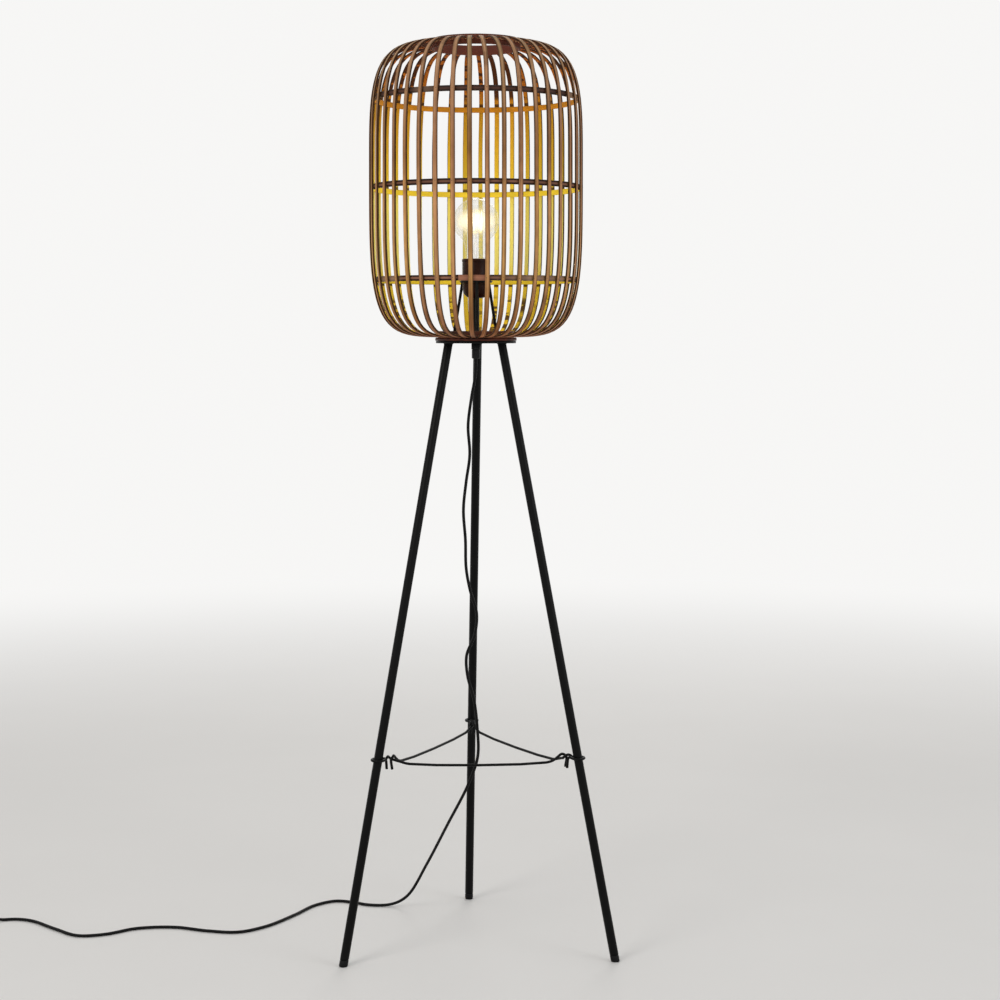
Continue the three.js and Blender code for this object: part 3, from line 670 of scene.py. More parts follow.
def revolved(name: str, profile: Profile, sides: int, centre: Point) -> Piece:
    """Spins a profile round an upright axis.

    Args:
        name: The piece's name.
        profile: Points of radius and height over the centre, in order along the outline.
        sides: How many sides the turned piece has.
        centre: A point on the axis, at height zero of the profile.

    Returns:
        The closed piece.
    """
    points = [Vector((centre[0] + radius, centre[1], centre[2] + height)) for radius, height in profile]
    piece = added(name, bpy.ops.mesh.primitive_plane_add, size=GAP, location=points[0])
    apply_place(piece)
    with editing(piece):
        bpy.ops.mesh.merge(type="CENTER")
        for before, after in zip(points, points[1:]):
            bpy.ops.mesh.extrude_vertices_move(TRANSFORM_OT_translate={"value": after - before})
        bpy.ops.mesh.select_all(action="SELECT")
        bpy.ops.mesh.spin(steps=sides, angle=FULL_TURN, center=centre, axis=(0, 0, 1))
    return closed_up(piece)


def apply_place(piece: Piece) -> None:
    """Moves an object's place into its mesh."""
    only(piece)
    bpy.ops.object.transform_apply(location=True, rotation=True, scale=True)


def turned_to(piece: Piece, matrix: Matrix) -> Piece:
    """Moves a piece by a matrix, into its mesh."""
    piece.matrix_world = matrix
    apply_place(piece)
    return piece


def copied(piece: Piece, name: str) -> Piece:
    """Returns a copy of a piece with its own mesh."""
    only(piece)
    bpy.ops.object.duplicate(linked=False)
    return started(name)


def joined(name: str, pieces: Sequence[Piece]) -> Piece:
    """Joins pieces into one object.

    Args:
        name: The joined piece's name.
        pieces: What is joined; the first one takes in the rest.

    Returns:
        The joined piece.
    """
    deselect()
    for piece in pieces:
        piece.select_set(True)
    bpy.context.view_layer.objects.active = pieces[0]
    bpy.ops.object.join()
    return started(name)


def with_modifier(piece: Piece, kind: str, **settings: object) -> Piece:
    """Adds a modifier and applies it.

    Args:
        piece: The piece that it changes.
        kind: The modifier's type.
        settings: Its own settings, by name.

    Returns:
        The same piece.
    """
    only(piece)
    bpy.ops.object.modifier_add(type=kind)
    modifier = piece.modifiers[-1]
    for key, setting in settings.items():
        setattr(modifier, key, setting)
    bpy.ops.object.modifier_apply(modifier=modifier.name)
    return piece


def bored(piece: Piece, tool: Piece) -> Piece:
    """Cuts a tool's shape out of a piece and removes the tool."""
    with_modifier(piece, "BOOLEAN", object=tool, operation="DIFFERENCE", solver="EXACT")
    bpy.data.objects.remove(tool)
    return piece


@dataclass(frozen=True)
class Bar:
    """A long bar of rectangular section with rounded edges, made upright and then laid along a line."""

    depth: float
    width: float
    rounding: float
    stations: tuple[float, ...]
    tips: tuple[float, ...] = ()

    def upright(self, name: str) -> Piece:
        """Extrudes the section from station to station; its outer face looks along -X.

        Args:
            name: The piece's name.

        Returns:
            The bar along +Z, with its section drawn in at both tips.
        """
        piece = added(name, bpy.ops.mesh.primitive_plane_add, size=1.0)
        last = len(self.stations) - 1
        with editing(piece):
            bpy.ops.transform.resize(value=(self.depth, self.width, 1.0))
            bpy.ops.mesh.bevel(offset=self.rounding, segments=2, affect="VERTICES")
            bpy.ops.mesh.select_all(action="SELECT")
            size = self.tip_share(0, last)
            bpy.ops.transform.resize(value=(1.0, size, 1.0))
            for step in range(1, last + 1):
                rise = self.stations[step] - self.stations[step - 1]
                bpy.ops.mesh.extrude_region_move(TRANSFORM_OT_translate={"value": (0.0, 0.0, rise)})
                share = self.tip_share(step, last)
                if share != size:
                    bpy.ops.transform.resize(value=(1.0, share / size, 1.0))
                    size = share
        return closed_up(piece, smooth=False)

    def tip_share(self, step: int, last: int) -> float:
        """Returns the share of the full width at a station."""
        from_end = min(step, last - step)
        return self.tips[from_end] if from_end < len(self.tips) else 1.0

    def mark(self, piece: Piece, tone: float, offset: float) -> None:
        """Writes where each vertex lies on the bar: shares along, across and inwards, and a grain map.

        Args:
            piece: The upright bar.
            tone: The bar's own lightness, from 0 to 1.
            offset: Moves the grain, so that no two bars are alike.
        """
        mesh = piece.data
        length = self.stations[-1]
        shares = {
            "along": [v.co.z / length for v in mesh.vertices],
            "across": [2 * v.co.y / self.width for v in mesh.vertices],
            "depth": [v.co.x / self.depth + 0.5 for v in mesh.vertices],
            "tone": [tone] * len(mesh.vertices),
        }
        for name, values in shares.items():
            mesh.attributes.new(name, "FLOAT", "POINT").data.foreach_set("value", values)
        grain = mesh.uv_layers.new(name="grain") if not mesh.uv_layers else mesh.uv_layers[0]
        grain.name = "grain"
        for loop in mesh.loops:
            place = mesh.vertices[loop.vertex_index].co
            grain.data[loop.index].uv = (place.z + offset, place.y + 2 * place.x + offset)


def laid(piece: Piece, line: Callable[[float, float, float], Vector]) -> Piece:
    """Moves each vertex of an upright bar to its place along a line.

    Args:
        piece: The upright bar.
        line: Takes the distance inwards, sideways and along, and returns the place.

    Returns:
        The same piece, shaded smooth.
    """
    for vertex in piece.data.vertices:
        vertex.co = line(*vertex.co)
    return closed_up(piece)


def catmull(points: Sequence[Point], steps: int) -> list[Vector]:
    """Samples the centripetal Catmull-Rom curve through points.

    Args:
        points: The points that the curve goes through.
        steps: Samples from one point to the next.

    Returns:
        The samples, the first and last points among them.
    """
    given = [Vector(point) for point in points]
    line = [2 * given[0] - given[1], *given, 2 * given[-1] - given[-2]]
    samples = []
    for a, b, c, d in zip(line, line[1:], line[2:], line[3:]):
        ab, bc, cd = (max((q - p).length, MERGE) ** 0.5 for p, q in ((a, b), (b, c), (c, d)))
        start = ((b - a) / ab - (c - a) / (ab + bc) + (c - b) / bc) * bc
        end = ((c - b) / bc - (d - b) / (bc + cd) + (d - c) / cd) * bc
        for step in range(steps):
            t = step / steps
            here = (2 * t**3 - 3 * t**2 + 1) * b + (t**3 - 2 * t**2 + t) * start
            samples.append(here + (3 * t**2 - 2 * t**3) * c + (t**3 - t**2) * end)
    return [*samples, given[-1]]


def eased(share: float) -> float:
    """Returns a share from 0 to 1 with a soft start and a soft end."""
    share = min(max(share, 0.0), 1.0)
    return share * share * (3 - 2 * share)


def wire(
    name: str,
    points: Sequence[Vector],
    diameter: float,
    radii: Sequence[float] = (),
    cyclic: bool = False,
    resolution: int = 5,
) -> Piece:
    """Lays a round wire along points, as a curve.

    Args:
        name: The piece's name.
        points: The wire's centreline.
        diameter: Its thickness.
        radii: The share of the full radius at each point, where it tapers.
        cyclic: Whether its end meets its start.
        resolution: How round its section is.

    Returns:
        The curve.
    """
    piece = added(name, bpy.ops.curve.primitive_nurbs_path_add)
    curve = piece.data
    curve.splines.clear()
    spline = curve.splines.new("POLY")
    spline.points.add(len(points) - 1)
    for index, (knot, point) in enumerate(zip(spline.points, points)):
        knot.co = (*point, 1.0)
        knot.radius = radii[index] if radii else 1.0
    spline.use_cyclic_u = cyclic
    spline.use_smooth = True
    curve.bevel_depth = diameter / 2
    curve.bevel_resolution = resolution
    curve.use_fill_caps = not cyclic
    return piece


def solid_wire(name: str, points: Sequence[Vector], diameter: float, **options: object) -> Piece:
    """Lays a round wire and turns it into a mesh."""
    piece = wire(name, points, diameter, **options)
    only(piece)
    bpy.ops.object.convert(target="MESH")
    return closed_up(started(name))


def handed_in(piece: Piece, finish: Finish, *replaces: str, ride: Ride = Ride.LAMP) -> Piece:
    """Dresses a finished piece, puts it on its body and hides the nodes that it stands for.

    Args:
        piece: The finished piece.
        finish: Its finish.
        replaces: The CAD nodes that it stands for.
        ride: The body that it moves with.

    Returns:
        The same piece.
    """
    piece.data.materials.clear()
    piece.data.materials.append(finish.material())
    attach(piece, ride.value)
    if replaces:
        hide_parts(*replaces)
    log.info("%s rides on %s", piece.name, ride.value)
    return piece


# The frame's own places


@dataclass(frozen=True)
class Axis:
    """The lamp's upright axis."""

    y: float = (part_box("top_ring")[0].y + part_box("top_ring")[1].y) / 2

    def at(self, height: float) -> Point:
        """Returns the point of the axis at a height."""
        return (0.0, self.y, height)

    def around(self, radius: float, angle: float, height: float) -> Vector:
        """Returns a point by its distance from the axis, its direction and its height."""
        return Vector((radius * math.cos(angle), self.y + radius * math.sin(angle), height))

    def from_axis(self, points: Sequence[Point]) -> list[Vector]:
        """Moves points that count from the foot of the axis into the frame."""
        return [Vector((x, y + self.y, z)) for x, y, z in points]


AXIS = Axis()


def level(node: str) -> tuple[float, float]:
    """Returns a node's lowest and highest level."""
    low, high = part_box(node)
    return low.z, high.z


def radius_of(node: str) -> float:
    """Returns the radius of a round upright node."""
    low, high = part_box(node)
    return (high.x - low.x) / 2


def middle_of(node: str, height: float) -> Point:
    """Returns the middle of a node's box, at a height."""
    low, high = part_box(node)
    return ((low.x + high.x) / 2, (low.y + high.y) / 2, height)


def mm(points: Sequence[Sequence[float]]) -> list[Point]:
    """Returns points given in millimetres in metres."""
    return [tuple(value / 1000 for value in point) for point in points]


def beside(radius: float, height: float, *steps: tuple[float, float]) -> list[tuple[float, float]]:
    """Returns profile points that lie some millimetres outwards and upwards of a corner."""
    return [(radius + out / 1000, height + up / 1000) for out, up in steps]


def collar(inner: float, outer: float, low: float, high: float, edge: float) -> Profile:
    """Returns the closed profile of a ring whose outer edges are chamfered."""
    lower = [(inner, low), (outer - edge, low), (outer, low + edge)]
    return [*lower, (outer, high - edge), (outer - edge, high), (inner, high), (inner, low)]


def turned(
    name: str, profile: Profile, sides: int, finish: Finish, *replaces: str, ride: Ride = Ride.LAMP
) -> Piece:
    """Spins a profile round the lamp's axis and hands the piece in.

    Args:
        name: The piece's name.
        profile: Points of radius and level.
        sides: How many sides the piece has.
        finish: Its finish.
        replaces: The CAD nodes that it stands for.
        ride: The body that it moves with.

    Returns:
        The piece.
    """
    return handed_in(revolved(name, profile, sides, AXIS.at(0.0)), finish, *replaces, ride=ride)


# Studio


@dataclass(frozen=True)
class SoftLight:
    """A large soft light that faces the frame's upright axis at a height."""

    name: str
    place: Point
    target: float
    size: float
    power: float
    colour: Colour = (1.0, 0.98, 0.95, 1.0)

    def hang(self) -> None:
        """Adds the light."""
        light = added(self.name, bpy.ops.object.light_add, type="AREA", location=self.place)
        light.data.shape = "DISK"
        light.data.size = self.size
        light.data.energy = self.power
        light.data.color = self.colour[:3]
        facing = Vector((0.0, 0.0, self.target)) - Vector(self.place)
        light.rotation_euler = facing.to_track_quat("-Z", "Y").to_euler()


@dataclass
class Studio:
    """The camera at the photograph's angle, the floor and the lights."""

    eye: Point = (-0.1548, -3.1295 + AXIS.y, 0.9316)
    yaw: float = math.radians(-3.5)
    lens: float = 74.16
    shift_down: float = 0.172
    background: Colour = (0.93, 0.925, 0.915, 1.0)
    floor_colour: Colour = (0.80, 0.79, 0.775, 1.0)
    floor_size: float = 40.0
    floor_drop: float = 0.0002
    fade_from: float = 1.3
    fade_to: float = 4.5
    world_level: float = 0.58
    filament_power: float = 0.85
    filament_size: float = 0.006
    filament_colour: Colour = (1.0, 0.86, 0.5, 1.0)
    sensor_width: float = 36.0
    view_distance: float = 60.0
    lights: tuple[SoftLight, ...] = (
        SoftLight("key_light", (-2.4, -2.8, 2.9), 0.9, 1.8, 46.0),
        SoftLight("fill_light", (2.8, -2.2, 1.9), 0.8, 2.0, 22.0, (0.93, 0.96, 1.0, 1.0)),
        SoftLight("rear_light", (0.6, 3.0, 2.6), 1.0, 1.6, 20.0),
    )

    def camera(self) -> None:
        """Sets the camera."""
        turn = (math.pi / 2, 0.0, self.yaw)
        camera = added("camera", bpy.ops.object.camera_add, location=self.eye, rotation=turn)
        camera.data.lens = self.lens
        camera.data.sensor_width = self.sensor_width
        camera.data.shift_y = -self.shift_down
        camera.data.clip_end = self.view_distance
        bpy.context.scene.camera = camera

    def seen_directly(self, nodes: bpy.types.Nodes, links: bpy.types.NodeLinks) -> bpy.types.NodeSocket:
        """Finds the rays that show the background itself, in glass and gloss too.

        Args:
            nodes: The world's nodes.
            links: Their links.

        Returns:
            A socket that gives 1 for such rays and 0 for others.
        """
        path = nodes.new("ShaderNodeLightPath")
        seen = path.outputs["Is Camera Ray"]
        for name in ("Is Glossy Ray", "Is Transmission Ray"):
            either = nodes.new("ShaderNodeMath")
            either.operation = "MAXIMUM"
            links.new(seen, either.inputs[0])
            links.new(path.outputs[name], either.inputs[1])
            seen = either.outputs[0]
        return seen

    def world(self) -> None:
        """Sets the pale surroundings, brighter to the eye than as a light."""
        world = bpy.data.worlds.new("studio")
        bpy.context.scene.world = world
        world.use_nodes = True
        nodes, links = world.node_tree.nodes, world.node_tree.links
        nodes.clear()
        output = nodes.new("ShaderNodeOutputWorld")
        mix = nodes.new("ShaderNodeMixShader")
        for index, strength in ((1, self.world_level), (2, 1.0)):
            background = nodes.new("ShaderNodeBackground")
            background.inputs["Color"].default_value = self.background
            background.inputs["Strength"].default_value = strength
            links.new(background.outputs[0], mix.inputs[index])
        links.new(self.seen_directly(nodes, links), mix.inputs[0])
        links.new(mix.outputs[0], output.inputs["Surface"])

    def floor(self) -> None:
        """Lays the pale floor, which fades into the background away from the lamp."""
        settings = {"size": self.floor_size, "location": (0.0, 0.0, -self.floor_drop)}
        floor = added("studio_floor", bpy.ops.mesh.primitive_plane_add, **settings)
        apply_place(floor)
        shader = Shader("studio floor")
        place = shader.place()
        away = shader.node("ShaderNodeVectorMath", {"operation": "LENGTH"}, {0: place}, "Value")
        cloud = shader.noise(place, 3.0, 2.0)
        colour = shader.shade(self.floor_colour, 0.98 + 0.04 * cloud)
        shader.set(Base_Color=colour, Roughness=0.8)
        glow = shader.nodes.new("ShaderNodeEmission")
        glow.inputs["Color"].default_value = self.background
        mix = shader.nodes.new("ShaderNodeMixShader")
        shader.links.new(shader.step(away, self.fade_from, self.fade_to).socket, mix.inputs[0])
        shader.links.new(shader.surface.outputs[0], mix.inputs[1])
        shader.links.new(glow.outputs[0], mix.inputs[2])
        output = next(node for node in shader.nodes if node.type == "OUTPUT_MATERIAL")
        shader.links.new(mix.outputs[0], output.inputs["Surface"])
        floor.data.materials.append(shader.material)

    def lamp_light(self, height: float, around: Sequence[Piece]) -> None:
        """Puts the filament's warm light inside the bulb.

        Args:
            height: The level of the filament's middle.
            around: The pieces round the bulb, which it lights and which shade it.
        """
        light = added("filament_light", bpy.ops.object.light_add, type="POINT", location=AXIS.at(height))
        light.data.energy = self.filament_power
        light.data.shadow_soft_size = self.filament_size
        light.data.color = self.filament_colour[:3]
        reached = bpy.data.collections.new("round the bulb")
        for piece in around:
            reached.objects.link(piece)
        light.light_linking.receiver_collection = reached
        light.light_linking.blocker_collection = reached

    def build(self) -> None:
        """Builds the studio."""
        bpy.context.scene.view_settings.view_transform = "Standard"
        self.camera()
        self.world()
        self.floor()
        for light in self.lights:
            light.hang()


# Cord


@dataclass
class PowerCord:
    """The cord: hanging out of the gland, over the floor to the foot switch, and coiled up to the plug."""

    diameter: float = 0.0046
    floor_gap: float = 0.0002
    entry_lift: float = 0.006
    switch_centre: Point = (-0.808, 0.142, 0.0)
    switch_reach: float = 0.050
    hanging: tuple[Point, ...] = (
        (-1, 0, 860), (-7, 0, 825), (-12, 0, 783), (-9.5, 0, 739), (-15, 1, 697), (-19, 2, 655),
        (-16, 1, 609), (-15, 0, 567), (-9, 0, 533), (1, 0, 498), (-2, 0, 465), (-14, 2, 434),
        (-13, 2, 404), (-3, 1, 366), (2, 2, 324), (3, 6, 279), (-10, 21, 235), (-41, 73, 159),
        (-71, 135, 83), (-99, 179, 23), (-115, 188, 9), (-131, 191, 3.6),
    )
    on_floor: tuple[tuple[float, float], ...] = (
        (-149, 192), (-168, 198), (-190, 213), (-217, 221), (-249, 199), (-280, 146), (-324, 84),
        (-364, 58), (-410, 67), (-464, 90), (-521, 87), (-566, 59), (-606, 54), (-646, 91), (-690, 138),
        (-714, 148.5), (-735, 147),
    )
    steps: int = 12
    coil_inner_radius: float = 0.0205
    layer_gap: float = 0.00055
    turns_per_layer: int = 2
    steps_per_turn: int = 48
    lead_in: float = 0.042
    lead_out: float = 0.025
    in_shares: tuple[float, ...] = (0.3, 0.5, 0.7, 0.85)
    out_shares: tuple[float, ...] = (0.35, 0.65)
    plug_thickness: float = 0.0137
    tie_width: float = 0.005
    tie_thickness: float = 0.00018

    @property
    def rest(self) -> float:
        """The level of the cord's middle where it lies on the floor."""
        return self.diameter / 2 + self.floor_gap

    def main_line(self) -> list[Vector]:
        """Returns the cord's centreline from inside the gland to the foot switch."""
        mouth = level("cord_gland")[0]
        entry = (self.switch_centre[0] + self.switch_reach + GAP, self.switch_centre[1], self.entry_lift)
        last = (entry[0] + self.diameter, entry[1], entry[2])
        floor = [(x / 1000, y / 1000, self.rest) for x, y in self.on_floor]
        route = [(0.0, 0.0, mouth), *mm(self.hanging), *floor, last]
        start = (0.0, 0.0, mouth + self.diameter)
        line = AXIS.from_axis([start, *catmull(route, self.steps), entry])
        return [Vector((*point.xy, max(point.z, self.rest))) for point in line]

    def coil_start(self) -> Vector:
        """Returns where the spare cord leaves the foot switch, from the foot of the axis."""
        return Vector(self.switch_centre) - Vector((self.switch_reach + GAP, 0.0, 0.0))

    def coil_centre(self) -> Vector:
        """Returns the middle of the coil, from the foot of the axis."""
        outer = self.coil_inner_radius + (self.diameter + self.layer_gap) * self.turns_per_layer
        return self.coil_start() - Vector((self.lead_in, outer, 0.0))

    def coil_line(self) -> list[Vector]:
        """Returns the centreline from the foot switch through the coil to the plug."""
        pitch = self.diameter + self.layer_gap
        start, centre = self.coil_start(), self.coil_centre()
        points = []

        def lead(x: float, lift: float) -> None:
            """Adds a point of a straight lead."""
            points.append((x, start.y, lift))

        lead(start.x, self.entry_lift)
        lead(start.x - self.diameter, self.entry_lift)
        for share in self.in_shares:
            fall = eased((share - 0.1) / 0.65) * (self.rest - self.entry_lift)
            lead(start.x - self.lead_in * share, self.entry_lift + fall)
        steps = 2 * self.turns_per_layer * self.steps_per_turn
        for step in range(steps + 1):
            turns = step / self.steps_per_turn
            past_reverse = turns - self.turns_per_layer
            radius = self.coil_inner_radius + pitch * abs(past_reverse)
            angle = math.pi / 2 + FULL_TURN * turns
            climb = min(max(2 * past_reverse + 0.5, 0.0), 1.0)
            place = centre + radius * Vector((math.cos(angle), math.sin(angle), 0.0))
            points.append((place.x, place.y, self.rest + pitch * climb))
        upper, plug = self.rest + pitch, self.plug_thickness / 2
        for share in self.out_shares:
            lead(centre.x - self.lead_out * share, upper + (plug - upper) * share)
        lead(centre.x - self.lead_out + self.diameter, plug)
        lead(centre.x - self.lead_out, plug)
        return AXIS.from_axis(points)

    def tie(self) -> Piece:
        """Makes the elastic band round the coil's four runs, on the side away from its leads."""
        pitch = self.diameter + self.layer_gap
        centre = self.coil_centre()
        reach = pitch + self.diameter + 2 * self.tie_thickness
        place = (centre.x, centre.y - self.coil_inner_radius - pitch + AXIS.y, self.rest + pitch / 2)
        size = (self.tie_width, reach, reach)
        piece = added("coil_band", bpy.ops.mesh.primitive_cube_add, size=1.0, location=place, scale=size)
        apply_place(piece)
        with editing(piece):
            bpy.ops.mesh.select_mode(type="FACE")
            bpy.ops.mesh.select_all(action="DESELECT")
            mesh = bmesh.from_edit_mesh(piece.data)
            for face in mesh.faces:
                face.select = abs(face.normal.x) > 0.5
            bpy.ops.mesh.delete(type="FACE")
        with_modifier(piece, "BEVEL", width=self.diameter / 2, segments=6)
        with_modifier(piece, "SOLIDIFY", thickness=self.tie_thickness, offset=-1.0)
        return closed_up(piece)

    def build(self) -> tuple[Piece, Piece]:
        """Lays both cords and returns them."""
        main = wire("power_cord", self.main_line(), self.diameter)
        handed_in(main, SHEATH, "cord")
        coil = wire("spare_cord", self.coil_line(), self.diameter)
        handed_in(coil, SHEATH, "cord_coil")
        return main, coil

    def declare(self, main: Piece, coil: Piece, switch: list[Piece]) -> None:
        """Works out both cords' centrelines and the gland's mouth again, and passes nothing on.

        Args:
            main: The cord from the gland to the foot switch; not used.
            coil: The coiled cord from the foot switch to the plug; not used.
            switch: The foot switch's pieces, on the main cord.
        """
        main_line, coil_line = self.main_line(), self.coil_line()
        AXIS.at(level("cord_gland")[0])
        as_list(switch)


# Tripod


@dataclass
class Tripod:
    """Three leaning steel tubes under a round plate, with end caps on the floor."""

    leg_radius: float = 0.0065
    top_reach: float = 0.0465
    top_turn: float = math.radians(-6)
    sides: int = 48
    cap_height: float = 0.0096
    cap_seam: float = 0.0004
    cap_edge: float = 0.0016
    weld_radius: float = 0.0007
    weld_sizes: tuple[float, float] = (0.75, 1.05)
    overrun: float = 0.05
    plate_edge: float = 0.0007
    plate_sides: int = 128
    feet: dict[str, Point] = field(
        default_factory=lambda: {foot["name"]: tuple(foot["pos_m"]) for foot in frame["record"]["mounts"]}
    )

    @property
    def top(self) -> float:
        """The level of the legs' upper ends, under the plate."""
        return level("mounting_plate")[0] - GAP

    def line(self, foot: str) -> tuple[Vector, Vector]:
        """Returns a leg's middle on the floor and under the plate."""
        low = Vector(self.feet[foot])
        outwards = low - Vector(AXIS.at(0.0))
        angle = math.atan2(outwards.y, outwards.x) + self.top_turn
        return low, AXIS.around(self.top_reach, angle, self.top)

    def cut_tube(self, name: str, foot: str, floor: float, top: float, edge: float) -> Piece:
        """Makes a leaning round bar that is cut level at both ends.

        Args:
            name: The piece's name.
            foot: The mount that the leg stands on.
            floor: The level of its lower end.
            top: The level of its upper end.
            edge: The rounding of its ends.

        Returns:
            The bar.
        """
        low, high = self.line(foot)
        lean = (high - low).normalized()
        piece = added(
            name,
            bpy.ops.mesh.primitive_cylinder_add,
            vertices=self.sides,
            radius=self.leg_radius,
            depth=(high - low).length + 2 * self.overrun,
            location=(low + high) / 2,
            rotation=lean.to_track_quat("Z", "Y").to_euler(),
        )
        apply_place(piece)
        with editing(piece):
            bpy.ops.mesh.bisect(plane_co=(0, 0, floor), plane_no=(0, 0, 1), use_fill=True, clear_inner=True)
            bpy.ops.mesh.select_all(action="SELECT")
            bpy.ops.mesh.bisect(plane_co=(0, 0, top), plane_no=(0, 0, 1), use_fill=True, clear_outer=True)
            for end in (floor, top):
                select_where(piece, "EDGE", lambda co, end=end: abs(co.z - end) < MERGE * 10)
                bpy.ops.mesh.bevel(offset=edge, segments=3, affect="EDGES", clamp_overlap=True)
        return closed_up(piece)

    def weld(self, name: str, foot: str) -> Piece:
        """Makes the bead round a leg's upper end.

        Args:
            name: The bead's name, which also seeds its unevenness.
            foot: The mount that the leg stands on.

        Returns:
            The bead.
        """
        low, high = self.line(foot)
        stretch = (high - low).length / (high - low).z
        away = (low - high).xy.normalized()
        chance = random.Random(f"{SEED} {name}")
        points, radii = [], []
        for step in range(self.sides):
            angle = FULL_TURN * step / self.sides
            along, side = math.cos(angle) * stretch, math.sin(angle)
            reach = self.leg_radius + 0.3 * self.weld_radius
            place = high.xy + reach * (along * away + side * Vector((-away.y, away.x)))
            points.append(Vector((place.x, place.y, high.z - 0.5 * self.weld_radius)))
            radii.append(chance.uniform(*self.weld_sizes))
        return solid_wire(name, points, 2 * self.weld_radius, radii=radii, cyclic=True)

    def plate(self) -> None:
        """Turns the steel plate, with its hole for the stem."""
        low, high = level("mounting_plate")
        radius, hole, edge = radius_of("mounting_plate"), radius_of("stem_tube") + GAP, self.plate_edge
        profile = [
            (hole, low), (radius - edge, low), (radius - 0.3 * edge, low + 0.3 * edge),
            (radius, low + edge), (radius, high - edge), (radius - 0.3 * edge, high - 0.3 * edge),
            (radius - edge, high), (hole, high), (hole, low),
        ]
        turned("steel_plate", profile, self.plate_sides, STEEL, "mounting_plate")

    def build(self) -> None:
        """Builds the legs, their caps and welds, and the plate."""
        for foot in self.feet:
            side = foot.removesuffix("_foot")
            seam = self.cap_height + self.cap_seam
            leg = self.cut_tube(f"{side}_tube", foot, seam, self.top, self.cap_seam)
            handed_in(leg, STEEL, f"{side}_leg")
            cap = self.cut_tube(f"{side}_end_cap", foot, 0.0, self.cap_height, self.cap_edge)
            handed_in(cap, PLASTIC)
            handed_in(self.weld(f"{side}_weld", foot), STEEL)
        self.plate()


@dataclass
class Brace:
    """Three wires, one for each side, whose strands wind round each other in a neck at each leg."""

    tripod: Tripod
    level: float = 0.2875
    slope: float = 0.035
    diameter: float = 0.004
    neck_rise: float = 0.0095
    neck_length: float = 0.020
    neck_gap: float = 0.002
    loop_gap: float = 0.002
    loop_turn: float = math.radians(130)
    bend_length: float = 0.018
    tail_drop: float = 0.016
    leaving: float = 0.25
    arriving: float = 0.2
    spot: float = 0.5
    first_tail: Profile = ((0.74, 1.0), (0.77, 0.55), (0.8, 0.22), (0.86, 0.05), (0.97, 0.0))
    last_tail: Profile = ((0.545, 0.13), (0.535, 0.4), (0.49, 0.7), (0.45, 1.0))

    def build(self) -> None:
        """Lays the three wires and the three welds and joins them."""
        corners = [BraceCorner(self, foot) for foot in ("rear_foot", "left_foot", "right_foot")]
        pieces = []
        for index, corner in enumerate(corners):
            arriving = corners[(index + 1) % len(corners)]
            points = self.wire_line(corner, arriving)
            line = catmull(points, 4)
            pieces.append(solid_wire(f"brace_side_{index}", line, self.diameter, resolution=6))
            ends = [corner.strand(self.spot, 0.0), corner.strand(self.spot, math.pi)]
            pieces.append(solid_wire(f"brace_spot_{index}", ends, 0.7 * self.diameter))
        handed_in(joined("brace_wires", pieces), STEEL, "leg_brace")

    def wire_line(self, corner: "BraceCorner", arriving: "BraceCorner") -> list[Vector]:
        """Returns the centreline of one side's wire, from one cut end to the other.

        Args:
            corner: The corner where the wire starts, with a loop round the leg.
            arriving: The corner where it ends.

        Returns:
            The points that the wire goes through.
        """
        start, end = corner.side(1.0), arriving.side(-1.0)
        along = (end - start).normalized() * self.bend_length

        def bend(base: Vector, way: float, share: float, rise: float) -> list[Vector]:
            """Returns the points between a neck and a side."""
            middle = base + way * share * along + Vector((0, 0, rise * self.neck_rise))
            return [middle, base + way * along]

        return [
            *corner.tail(self.first_tail, -1.0), *corner.loop(), *corner.strands(1.0, self.leaving, 0.0),
            *bend(start, 1.0, 0.2, 0.4), *reversed(bend(end, -1.0, 0.35, 0.4)),
            *arriving.strands(self.arriving, self.spot, math.pi), *arriving.tail(self.last_tail, 1.0),
        ]


